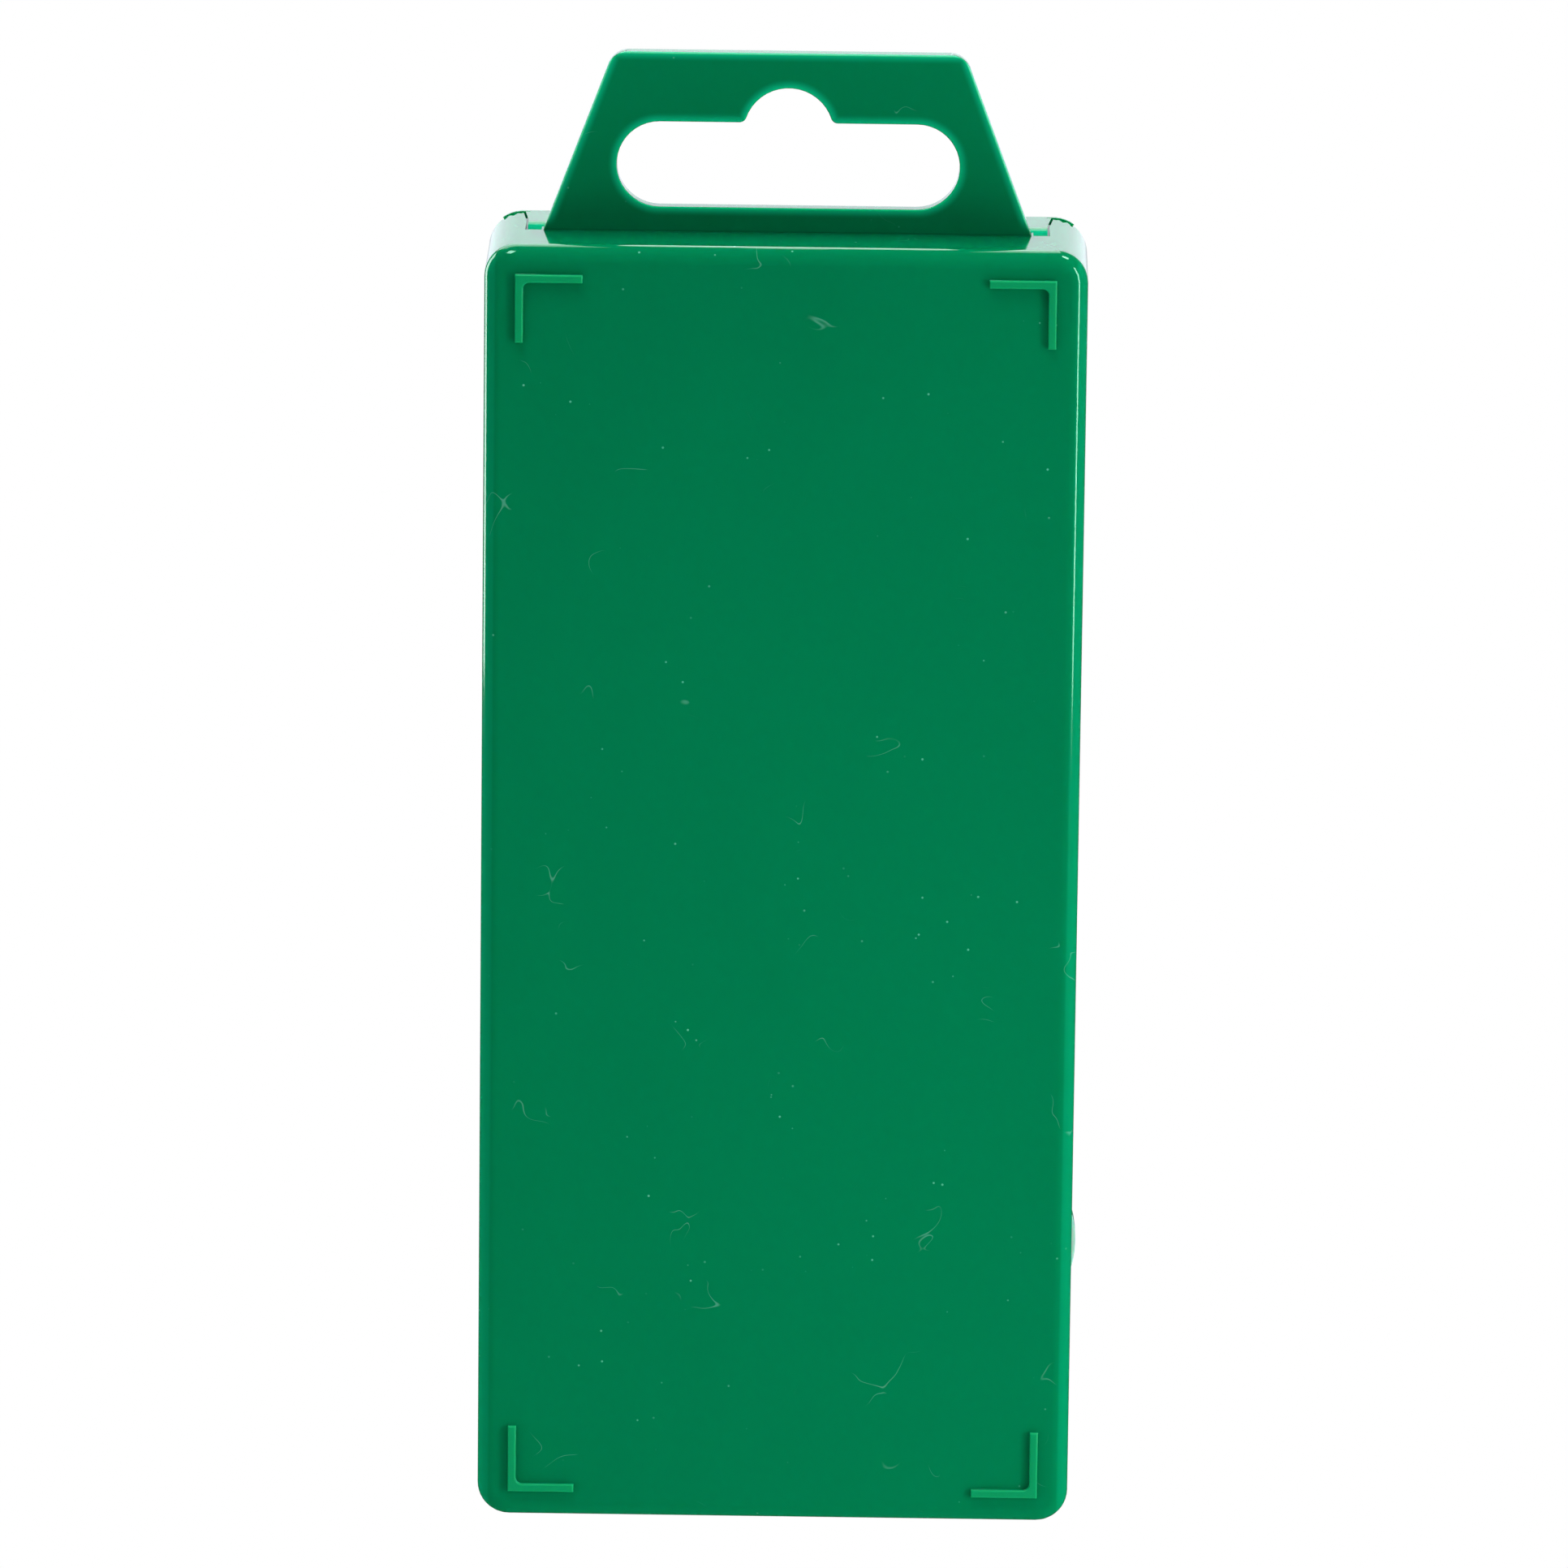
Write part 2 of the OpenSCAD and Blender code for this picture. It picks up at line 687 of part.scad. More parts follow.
module cover_window() {
    color("lightcyan", 0.3) hung() translate([0, 0, cover_back]) linear_extrude(pane_t)
        round_rect([-window_half - pane_lap, window_bottom - pane_lap],
            [window_half + pane_lap, window_top + pane_lap], window_r + pane_lap);
}

// Places its children at the feet of every tube clip
module at_clip_feet() {
    for (x = [-limb_x, limb_x], y = clip_rows, side = [-1, 1]) {
        translate([x + side * clip_foot_x, y, 0]) children();
    }
}

module scale_plate() {
    color("white") hung() translate([0, 0, plate_back]) linear_extrude(plate_t) difference() {
        round_rect([-plate_half, plate_bottom], [plate_half, plate_top], corner_r);
        both_sides() {
            translate([limb_x, limb_top]) circle(bulb_notch_r);
            translate([limb_x - bulb_notch_r, limb_top]) square([2 * bulb_notch_r, plate_top]);
            for (y = screw_rows) {
                translate([screw_x, y]) circle(screw_r + screw_fit);
            }
        }
        translate([0, button_y]) circle(bush_r + bush_fit);
        at_clip_feet() circle(rivet_r + rivet_fit);
    }
}

// Pan-head screws with a cross recess
module plate_screws() {
    color("silver") hung() both_sides() for (y = screw_rows) {
        translate([screw_x, y, plate_front]) difference() {
            union() {
                translate([0, 0, -screw_len]) cylinder(r = screw_r, h = screw_len + lap);
                cylinder(r = screw_head_r, h = screw_head_h);
            }
            translate([0, 0, screw_head_h]) {
                cube([recess_len, recess_w, 2 * recess_depth], center = true);
                cube([recess_w, recess_len, 2 * recess_depth], center = true);
            }
        }
    }
}

// Half section of a limb that widens into its bulb, inset by a wall
module bulb_section(r, h, limb_half, inset) {
    shoulder = limb_len + bulb_shoulder;
    dome_base = limb_len + h - r;
    bulb = r - inset;
    polygon([[0, 0], [limb_half, 0], [limb_half, limb_len], [bulb, shoulder], [bulb, dome_base],
        [0, dome_base]]);
    intersection() {
        translate([0, dome_base]) circle(bulb);
        translate([0, dome_base]) square(bulb);
    }
}

// Places a revolved section on the foot of one limb
module on_limb(x) {
    translate([x, bend_y, tube_z]) upright() rotate_extrude() children();
}

// Half ring of round section that joins the two limbs
module bend(r) {
    translate([0, bend_y, tube_z]) rotate([0, 0, 180]) rotate_extrude(angle = 180)
        translate([limb_x, 0]) circle(r);
}

module u_tube() {
    color("azure", 0.4) hung() difference() {
        union() {
            on_limb(-limb_x) bulb_section(main_bulb_r, main_bulb_h, tube_r, 0);
            on_limb(limb_x) bulb_section(small_bulb_r, small_bulb_h, tube_r, 0);
            bend(tube_r);
        }
        on_limb(-limb_x) bulb_section(main_bulb_r, main_bulb_h, bore_r, bulb_wall);
        on_limb(limb_x) bulb_section(small_bulb_r, small_bulb_h, bore_r, bulb_wall);
        bend(bore_r);
    }
}

// Thread of liquid that fills the bend and stands in both limbs
module indicator_liquid() {
    r = bore_r - fill_gap;
    color("midnightblue") hung() {
        bend(r);
        for (limb = [[-limb_x, min_level(temp_now)], [limb_x, max_level(temp_now)]]) {
            translate([limb.x, bend_y, tube_z]) upright() cylinder(r = r, h = limb.y - bend_y);
        }
    }
}

// Filling of a bulb from its shoulder up to a share of its height
module bulb_filling(x, r, h, share) {
    inset = bulb_wall + fill_gap;
    on_limb(x) intersection() {
        bulb_section(r, h, bore_r - fill_gap, inset);
        translate([0, limb_len]) square([r, h * share]);
    }
}

module main_spirit() {
    color("lightskyblue", 0.6) hung() bulb_filling(-limb_x, main_bulb_r, main_bulb_h, 1);
}

module expansion_spirit() {
    color("lightskyblue", 0.6) hung() bulb_filling(limb_x, small_bulb_r, small_bulb_h, small_fill);
}

// Sheath of an index with round ends, hollow for its needle
module index_sheath(x, y) {
    translate([x, y, tube_z]) upright() rotate_extrude() difference() {
        union() {
            translate([0, index_r]) square([index_r, index_len - 2 * index_r]);
            for (end = [index_r, index_len - index_r]) {
                intersection() {
                    translate([0, end]) circle(index_r);
                    square([index_r, index_len]);
                }
            }
        }
        translate([0, needle_cap]) square([needle_r, index_len - 2 * needle_cap]);
    }
}

module index_needle(x, y) {
    translate([x, y + needle_cap, tube_z]) upright()
        cylinder(r = needle_r, h = index_len - 2 * needle_cap);
}

module max_index() {
    color("crimson") hung() index_sheath(limb_x, max_level(temp_max));
}

module max_index_needle() {
    color("dimgray") hung() index_needle(limb_x, max_level(temp_max));
}

module min_index() {
    color("royalblue") hung() index_sheath(-limb_x, min_level(temp_min));
}

module min_index_needle() {
    color("dimgray") hung() index_needle(-limb_x, min_level(temp_min));
}

// Arch over a limb that stands on two feet, drawn across the limb
module clip_section() {
    rise = tube_z - plate_front;
    outer = clip_r + clip_wall;
    foot = outer + clip_foot;
    difference() {
        union() {
            translate([0, rise]) circle(outer);
            translate([-outer, 0]) square([2 * outer, rise]);
            translate([-foot, 0]) square([2 * foot, clip_foot_t]);
        }
        translate([0, rise]) circle(clip_r);
        translate([-clip_r, -cut]) square([2 * clip_r, rise + cut]);
    }
}

module tube_clips() {
    color("white") hung() difference() {
        for (x = [-limb_x, limb_x], y = clip_rows) {
            translate([x, y, plate_front]) rotate([90, 0, 0])
                linear_extrude(clip_w, center = true) clip_section();
        }
        translate([0, 0, plate_front - cut]) at_clip_feet()
            cylinder(r = rivet_r + rivet_fit, h = clip_foot_t + 2 * cut);
    }
}

// Rivets through clip feet and plate, with a flat head at each end
module clip_rivets() {
    color("silver") hung() at_clip_feet() {
        translate([0, 0, plate_back - rivet_head_h / 2])
            cylinder(r = rivet_r, h = plate_t + clip_foot_t + rivet_head_h);
        for (z = [plate_front + clip_foot_t, plate_back - rivet_head_h]) {
            translate([0, 0, z]) cylinder(r = rivet_head_r, h = rivet_head_h);
        }
    }
}

// Half-round shelf under the bend of the tube
module bend_cradle() {
    inner = limb_x + tube_r + cradle_fit;
    color("white") hung() translate([0, bend_y, plate_front]) rotate([0, 0, 180])
        rotate_extrude(angle = 180) translate([inner, 0]) square([cradle_t, tube_z - plate_front]);
}

// Bush through the plate with a collar that guides the button
module button_guide() {
    collar_in = button_r + button_fit;
    color("gainsboro") hung() translate([0, button_y, 0]) difference() {
        union() {
            translate([0, 0, plate_front]) cylinder(r = collar_in + collar_wall, h = collar_z - plate_front);
            translate([0, 0, plate_back - bush_tail]) cylinder(r = bush_r, h = plate_t + bush_tail + lap);
        }
        translate([0, 0, collar_top_z]) cylinder(r = collar_in, h = case_d);
        cylinder(r = stem_r + button_fit, h = case_d);
    }
}

// Hollow cap with a finger hollow and a stem that steps down to carry the magnets
module reset_button() {
    dish_r = (button_r * button_r / button_dish + button_dish) / 2;
    color("firebrick") hung() translate([0, button_y, 0]) {
        difference() {
            translate([0, 0, skirt_z]) cylinder(r = button_r, h = button_top - skirt_z);
            translate([0, 0, button_top - button_dish + dish_r]) sphere(dish_r);
            translate([0, 0, skirt_z - cut])
                cylinder(r = button_r - button_wall, h = button_top - button_wall - skirt_z + cut);
        }
        translate([0, 0, carrier_front])
            cylinder(r = stem_r, h = button_top - button_wall + lap - carrier_front);
        translate([0, 0, carrier_back - stem_tail]) cylinder(r = stem_end_r, h = carrier_t + stem_tail + lap);
    }
}

// Coil of round wire swept along a helix, one ring of points after another
module button_spring() {
    sides = wire_sides;
    steps = coil_steps * spring_coils;
    rise = spring_len - spring_wire - 2 * spring_gap;
    rings = [for (i = [0 : steps]) let (turn = 360 * spring_coils * i / steps) [for (k = [0 : sides - 1])
        let (a = 360 * k / sides, r = spring_r + spring_wire / 2 * cos(a))
        [r * cos(turn), r * sin(turn), rise * i / steps + spring_wire / 2 * sin(a)]]];
    points = [for (ring = rings) each ring];
    walls = [for (i = [0 : steps - 1], k = [0 : sides - 1]) let (n = (k + 1) % sides)
        [i * sides + k, (i + 1) * sides + k, (i + 1) * sides + n, i * sides + n]];
    ends = [[for (k = [0 : sides - 1]) k], [for (k = [0 : sides - 1]) (steps + 1) * sides - 1 - k]];
    color("silver") hung() translate([0, button_y, collar_top_z + spring_wire / 2 + spring_gap])
        polyhedron(points, concat(walls, ends));
}

// Plate behind the scale that slides on the guide posts and carries the magnet strips
module magnet_carrier() {
    window = [magnet_w, post_y - post_r - post_fit - stem_clip_r - 2 * carrier_web];
    window_y = stem_clip_r + carrier_web + window.y / 2;
    pad_y = carrier_len / 2 - carrier_rim - stop_pad / 2;
    color("dimgray") hung() translate([0, button_y, 0]) {
        translate([0, 0, carrier_back]) linear_extrude(carrier_t) difference() {
            round_rect([-carrier_half, -carrier_len / 2], [carrier_half, carrier_len / 2], carrier_rim);
            circle(stem_end_r + stem_end_fit);
            for (side = [-1, 1]) {
                translate([0, side * post_y]) circle(post_r + post_fit);
                translate([0, side * window_y]) square(window, center = true);
            }
        }
        for (y = [-pad_y, pad_y]) {
            translate([-stop_pad / 2, y - stop_pad / 2, carrier_front - carrier_t / 2])
                cube([stop_pad, stop_pad, plate_back - stop_gap - carrier_front + carrier_t / 2]);
        }
    }
}

module magnet_strip(x) {
    color("saddlebrown") hung() translate([x - magnet_w / 2, scale_y, carrier_front])
        cube([magnet_w, scale_top - scale_y, magnet_t]);
}

module left_magnet() {
    magnet_strip(-limb_x);
}

module right_magnet() {
    magnet_strip(limb_x);
}

// Push-on clip that keeps the carrier on the stem end
module stem_clip() {
    color("silver") hung() translate([0, button_y, carrier_back - stem_clip_t]) difference() {
        cylinder(r = stem_clip_r, h = stem_clip_t);
        translate([0, 0, -cut]) cylinder(r = stem_end_r + stem_end_fit, h = stem_clip_t + 2 * cut);
    }
}

rear_shell();
front_cover();
cover_window();
scale_plate();
plate_screws();
u_tube();
indicator_liquid();
main_spirit();
expansion_spirit();
max_index();
max_index_needle();
min_index();
min_index_needle();
tube_clips();
clip_rivets();
bend_cradle();
button_guide();
reset_button();
button_spring();
magnet_carrier();
left_magnet();
right_magnet();
stem_clip();
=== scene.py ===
"""Looks of a hanging maximum minimum thermometer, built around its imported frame."""

import json
import math

import bmesh
import bpy
import numpy as np
from bpy.props import FloatProperty, FloatVectorProperty, IntProperty, PointerProperty
from mathutils import Matrix, Vector

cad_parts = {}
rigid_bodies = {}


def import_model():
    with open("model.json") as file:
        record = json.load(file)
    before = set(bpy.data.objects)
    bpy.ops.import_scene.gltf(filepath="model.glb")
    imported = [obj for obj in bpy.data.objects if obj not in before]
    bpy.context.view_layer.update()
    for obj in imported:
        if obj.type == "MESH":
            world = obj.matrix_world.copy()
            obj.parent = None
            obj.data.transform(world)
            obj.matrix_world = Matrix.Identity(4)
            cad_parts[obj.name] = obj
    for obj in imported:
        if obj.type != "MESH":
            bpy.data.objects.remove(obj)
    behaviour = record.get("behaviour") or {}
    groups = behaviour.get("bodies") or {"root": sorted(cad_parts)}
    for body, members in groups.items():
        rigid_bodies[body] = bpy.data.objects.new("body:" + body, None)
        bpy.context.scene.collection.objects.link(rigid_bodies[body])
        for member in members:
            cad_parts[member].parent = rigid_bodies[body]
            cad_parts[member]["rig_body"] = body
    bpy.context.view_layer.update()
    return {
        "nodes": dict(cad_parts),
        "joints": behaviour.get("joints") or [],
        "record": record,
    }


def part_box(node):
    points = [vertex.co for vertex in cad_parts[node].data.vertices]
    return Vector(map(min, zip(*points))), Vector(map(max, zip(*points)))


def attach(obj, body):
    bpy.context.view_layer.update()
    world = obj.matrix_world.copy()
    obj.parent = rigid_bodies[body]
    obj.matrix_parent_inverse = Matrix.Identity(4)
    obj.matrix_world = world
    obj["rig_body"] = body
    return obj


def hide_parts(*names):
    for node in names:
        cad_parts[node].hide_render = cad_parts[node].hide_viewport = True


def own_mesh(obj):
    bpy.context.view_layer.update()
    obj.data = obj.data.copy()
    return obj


bl_info = {
    "name": "Hanging maximum minimum thermometer",
    "version": (1, 0, 0),
    "blender": (4, 5, 0),
    "location": "3D View > Sidebar > Thermometer",
    "description": "Dresses the thermometer's solids with finishes, print, glass and a studio",
    "category": "Object",
}

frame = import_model()

MM = 0.001
FULL_TURN = 2 * math.pi
WHITE = (1, 1, 1, 1)
DEPTH = np.array([0.0, 1.0, 0.0])

# Corners of a solid closer than WELD are one corner, points of a new surface closer than SEAM one point
WELD = 0.002 * MM
SEAM = WELD / 10
# Faces flatter than FLAT are one face, and edges sharper than SHARP get a rounding
FLAT = math.radians(0.5)
SHARP = math.radians(30)

# Rounding of the sharp edges of a solid in millimetres
ROUNDINGS = {
    "cover_window": 0.1,
    "scale_plate": 0.15,
    "tube_clips": 0.18,
    "bend_cradle": 0.25,
    "clip_rivets": 0.2,
    "plate_screws": 0.12,
    "button_guide": 0.2,
    "reset_button": 0.25,
    "magnet_carrier": 0.15,
    "left_magnet": 0.15,
    "right_magnet": 0.15,
    "stem_clip": 0.08,
}

# Solid finish: drift of the colour, grains in a metre, roughness, its change and the relief in millimetres
FINISHES = {
    "scale_white": (0.02, 900, 0.45, 0.12, 0.003),
    "scale_ink": (0.15, 1500, 0.5, 0.2, 0.002),
    "indicator_blue": (0.1, 300, 0.12, 0.04, 0.001),
    "needle_steel": (0.08, 2500, 0.25, 0.15, 0.001),
    "max_index_sheath": (0.08, 2000, 0.2, 0.1, 0.001),
    "min_index_sheath": (0.08, 2000, 0.2, 0.1, 0.001),
    "clip_white": (0.03, 900, 0.35, 0.1, 0.003),
    "plated_steel": (0.1, 1800, 0.28, 0.18, 0.002),
    "rivet_aluminium": (0.06, 2200, 0.32, 0.15, 0.002),
    "guide_grey": (0.05, 900, 0.4, 0.12, 0.004),
    "carrier_grey": (0.08, 700, 0.5, 0.12, 0.006),
    "magnet_brown": (0.15, 1200, 0.7, 0.15, 0.01),
    "button_red": (0.05, 500, 0.16, 0.06, 0.003),
    "spring_steel": (0.08, 2500, 0.22, 0.12, 0.001),
}
# Patches of drifting colour are this many grains wide
DRIFT = 8

# Clear finish: tint, veil face on, cover at the outline, colour of the skin, its roughness and metal share
CLEAR = {
    "clear_pane": ((0.985, 0.995, 0.995), 0.02, 0.5, (0.5, 0.5, 0.5), 0.03, 0.0),
    "tube_glass": ((0.975, 0.99, 0.99), 0.05, 0.9, (0.75, 0.8, 0.8), 0.03, 1.0),
    "spirit_clear": ((0.86, 0.93, 0.985), 0.01, 0.2, (0.5, 0.6, 0.65), 0.05, 0.0),
}

# Lamp: turn from the case's back towards +X and climb in degrees, reach, width and height in metres, glow,
# and whether glossy skins mirror it
LAMPS = {
    "key": (-60, 12, 0.8, 0.12, 0.66, 12.5, True),
    "key_fill": (-58, -15, 0.25, 0.15, 0.2, 4.2, False),
    "left_fill": (62, -18, 0.25, 0.15, 0.2, 2.1, False),
    "rim": (122, 12, 0.8, 0.3, 0.66, 6, True),
    "overhead_left": (46, 67, 0.8, 0.22, 0.22, 12, True),
    "overhead_right": (-94, 67, 0.8, 0.2, 0.2, 13, True),
    "top": (0, 78, 0.8, 0.5, 0.4, 6.5, False),
    "below": (-25, -60, 0.5, 0.5, 0.3, 3, False),
    "front": (165, 46, 0.9, 0.6, 0.6, 2.5, True),
}

# Wall of the glass, height of its shoulders and small bulb, play of the filling, round end of the thread
GLASS_WALL = 0.7 * MM
SHOULDER = 3.0 * MM
SMALL_BULB = 16.0 * MM
PLAY = 0.05 * MM
MENISCUS = 0.3 * MM
# Rings along the glass, the thread and a filling
GLASS_RINGS, THREAD_RINGS, FILLING_RINGS = 420, 260, 120


def span(node):
    """Lowest and highest corner of a node as two arrays."""
    low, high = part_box(node)
    return np.array(low), np.array(high)


def joint_range(name):
    """Lower and upper limit of a sliding joint in metres."""
    joint = next(j for j in frame["joints"] if j["name"] == name)
    return joint["range_m"]


class Socket:
    """A shader value that can be written in expressions; each operation adds one Math node."""

    def __init__(self, tree, socket):
        self.tree = tree
        self.socket = socket

    def math(self, operation, *operands):
        inputs = dict(enumerate(operands))
        return self.tree.add("ShaderNodeMath", {"operation": operation}, inputs)

    def __add__(self, other):
        return self.math("ADD", self, other)

    def __radd__(self, other):
        return self.math("ADD", other, self)

    def __sub__(self, other):
        return self.math("SUBTRACT", self, other)

    def __rsub__(self, other):
        return self.math("SUBTRACT", other, self)

    def __mul__(self, other):
        return self.math("MULTIPLY", self, other)

    def __rmul__(self, other):
        return self.math("MULTIPLY", other, self)

    def __pow__(self, other):
        return self.math("POWER", self, other)

    def __abs__(self):
        return self.math("ABSOLUTE", self)

    def larger(self, other):
        return self.math("MAXIMUM", self, other)

    def smaller(self, other):
        return self.math("MINIMUM", self, other)

    def ramp(self, start, end):
        """0 before start, 1 after end and a smooth step between them; start may lie above end."""
        flipped = start > end
        settings = {"interpolation_type": "SMOOTHSTEP"}
        inputs = {"Value": self, "From Min": min(start, end), "From Max": max(start, end)}
        rise = self.tree.add("ShaderNodeMapRange", settings, inputs)
        return 1 - rise if flipped else rise


class NodeTree:
    """The node tree of a material or a world, filled by one method."""

    def __init__(self, owner):
        owner.use_nodes = True
        self.nodes = owner.node_tree.nodes
        self.links = owner.node_tree.links
        self.nodes.clear()

    def add(self, kind, settings=None, inputs=None, output=0):
        """Adds a node, sets it up, fills its sockets with values or links and returns one output."""
        node = self.nodes.new(kind)
        for key, value in (settings or {}).items():
            setattr(node, key, value)
        for key, value in (inputs or {}).items():
            if isinstance(value, Socket):
                self.links.new(value.socket, node.inputs[key])
            else:
                node.inputs[key].default_value = value
        return Socket(self, node.outputs[output]) if node.outputs else None

    def place(self, scale=(1, 1, 1), offset=(0, 0, 0)):
        """Object coordinates in metres, scaled and shifted."""
        coordinates = self.add("ShaderNodeTexCoord", output="Object")
        inputs = {"Vector": coordinates, "Location": offset, "Scale": scale}
        return self.add("ShaderNodeMapping", None, inputs)

    def axis(self, vector, letter):
        return self.add("ShaderNodeSeparateXYZ", None, {0: vector}, output=letter)

    def facing(self):
        """How far the surface faces the rear, from -1 to 1."""
        return self.axis(self.add("ShaderNodeTexCoord", output="Normal"), "Y")

    def noise(self, vector, scale, detail=2.0, distortion=0.0):
        inputs = {"Vector": vector, "Scale": scale, "Detail": detail, "Distortion": distortion}
        return self.add("ShaderNodeTexNoise", None, inputs)

    def mix(self, factor, first, second):
        """Colour between first and second."""
        settings = {"data_type": "RGBA"}
        return self.add("ShaderNodeMix", settings, {0: factor, 6: first, 7: second}, output=2)

    def bump(self, height, distance, strength=1.0):
        inputs = {"Height": height, "Distance": distance, "Strength": strength}
        return self.add("ShaderNodeBump", None, inputs)

    def principled(self, **inputs):
        named = {key.replace("_", " ").title(): value for key, value in inputs.items()}
        if "Ior" in named:
            named["IOR"] = named.pop("Ior")
        return self.add("ShaderNodeBsdfPrincipled", None, named)

    def transparent(self, colour):
        return self.add("ShaderNodeBsdfTransparent", None, {"Color": colour})

    def mix_shader(self, factor, first, second):
        return self.add("ShaderNodeMixShader", None, {0: factor, 1: first, 2: second})

    def surface(self, shader):
        self.add("ShaderNodeOutputMaterial", None, {"Surface": shader})


def shade(colour, factor=1.0):
    """A colour made lighter or darker by a factor, with full alpha."""
    return tuple(min(1.0, c * factor) for c in colour[:3]) + (1.0,)


def new_material(name):
    material = bpy.data.materials.new(name)
    return material, NodeTree(material)


def grained(name, colour, **constants):
    """Solid finish: a colour that drifts over the piece, a roughness that follows a grain, and its relief.

    colour = base * (1 -+ vary * drift), roughness = middle +- rough_vary * grain.
    """
    vary, grain, roughness, rough_vary, relief = FINISHES[name]
    material, tree = new_material(name)
    place = tree.place()
    drift = tree.noise(place, grain / DRIFT, 3.0)
    fine = tree.noise(place, grain, 4.0)
    base = tree.mix(drift.ramp(0.3, 0.7), shade(colour, 1 - vary), shade(colour, 1 + vary))
    rough = roughness + rough_vary * (fine - 0.5)
    normal = tree.bump(fine, relief * MM)
    tree.surface(tree.principled(base_color=base, roughness=rough, normal=normal, **constants))
    return material


def dust(tree, place, settings):
    """Masks of fine hairs and of specks.

    Hairs are thin bands about the level 0.5 of a noise, kept only in patches of a second noise.
    Specks are balls about the points of a cell pattern, kept in some cells and in clusters.
    """
    patch_scale, patch_edge, patch_full = settings.hair_scale * 0.8, 0.69, 0.75
    cluster_scale, cluster_edge, cluster_full = 110, 0.52, 0.6
    cell_edge, cell_full = 0.3, 0.35
    core = settings.speck_size * 0.4
    patch_place = tree.place(offset=(0.31, 0.17, 0.23))
    cluster_place = tree.place(offset=(0.13, 0.41, 0.29))
    level = tree.noise(place, settings.hair_scale, 1.0, 0.4)
    patch = tree.noise(patch_place, patch_scale, 0.0).ramp(patch_edge, patch_full)
    hair = abs(level - 0.5).ramp(settings.hair_width, 0.0) * patch
    cells = {"Vector": place, "Scale": settings.speck_scale}
    gap = tree.add("ShaderNodeTexVoronoi", None, cells, output="Distance")
    tint = tree.add("ShaderNodeTexVoronoi", None, cells, output="Color")
    cluster = tree.noise(cluster_place, cluster_scale, 2.0).ramp(cluster_edge, cluster_full)
    chosen = tree.axis(tint, "X").ramp(cell_edge, cell_full) * cluster
    return hair, gap.ramp(settings.speck_size, core) * chosen


def shell_greens(tree, place, base, settings, rib):
    """The shell's greens with painted light and shade: ribs painted lighter, painted shade that darkens the
    hanger towards its foot, and a painted glow and a painted highlight on the hanger's thin edges.

    The wall behind and beside the foot of the hanger gets painted shade too, and the long sides are painted
    lighter.
    """
    # Shares for painted light and shade: ribs painted lighter, the darker green of the painted shade, and
    # long sides painted lighter
    rib_painted_light, dark, flank_painted_share = 1.5, 0.4, 0.22
    # Where the painted shade falls: up the hanger from its foot, and on the top wall behind and beside the
    # foot
    foot_painted_shade, foot_height, foot_edge = 0.4, 6 * MM, 0.1 * MM
    wall_painted_shade, wall_behind, wall_beside = 0.7, 7 * MM, 1.5 * MM
    wall_start, wall_full = 1.3 * MM, 1.0 * MM
    flank_start, flank_full = 1.35 * MM, 1.05 * MM
    x, y, z = abs(tree.axis(place, "X")), tree.axis(place, "Y"), tree.axis(place, "Z")
    foot = span("front_cover")[1][2]
    half = span("rear_shell")[1][0]
    # Painted light: the ribs are painted lighter, as if light shines through them
    base = tree.mix(rib, base, shade(settings.green, rib_painted_light))
    # Painted shade: the hanger is darkened towards its foot, and the top wall behind and beside the foot is
    # darkened
    painted_foot_shade = z.ramp(foot + foot_height, foot) * z.ramp(foot - foot_edge, foot)
    behind = y.ramp(settings.tab_back + wall_behind, settings.tab_back)
    beside = x.ramp(settings.tab_foot + wall_beside, settings.tab_foot)
    top_wall = z.ramp(foot - wall_start, foot - wall_full) * z.ramp(foot, foot - foot_edge)
    painted_wall_shade = top_wall * behind * beside
    base = tree.mix(foot_painted_shade * painted_foot_shade + wall_painted_shade * painted_wall_shade, base, shade(settings.green, dark))
    # Painted light: the long sides are painted lighter, as if light passes through their thin edges
    painted_flank_light = x.ramp(half - flank_start, half - flank_full)
    base = tree.mix(flank_painted_share * painted_flank_light, base, shade(settings.edge_green))
    # Painted glow along the hanger's edges and a painted highlight on its outermost rim
    glow, rim = hanger_glow(tree, x, z, settings)
    base = tree.mix(glow, base, shade(settings.edge_green))
    return tree.mix(rim, base, shade(settings.rim_green))


def hanger_glow(tree, x, z, settings):
    """Masks of painted light on the hanger's edges: a painted glow near every edge, and a painted highlight
    on the outermost rim.

    The distance to the nearest edge is the least of those to the slanted side, (w(z) - |x|) cos(lean),
    to the top, top - z, to the slot, |(max(|x| - s, 0), z - c)| - r, and to its dome, |(x, z + d)| - d.
    """
    foot_blend = 1.5 * MM
    top = span("rear_shell")[1][2]
    foot = span("front_cover")[1][2]
    half = settings.tab_half + (top - z) * math.tan(settings.tab_lean)
    side = (half - x) * math.cos(settings.tab_lean)
    along = (x - settings.slot_reach).larger(0)
    up = z - settings.slot_z
    slot = (along * along + up * up) ** 0.5 - settings.slot_r
    over = z + settings.dome_r
    dome = (x * x + over * over) ** 0.5 - settings.dome_r
    outer = side.smaller(top - z)
    edge = outer.smaller(slot).smaller(dome)
    facing = abs(tree.facing())
    above = z.ramp(foot, foot + foot_blend)
    rounding = settings.hanger_edge * MM
    rim_start, rim_full = 1.5 * rounding, 0.7 * rounding
    # Painted glow near every edge of the hanger, and a painted highlight on its outermost rim, on faces
    # turned front or rear
    glow = edge.ramp(settings.glow_width, 0.0) * above * facing.ramp(0.5, 0.9)
    rim = outer.ramp(rim_start, rim_full) * above * facing.ramp(0.2, 0.6)
    return glow, rim


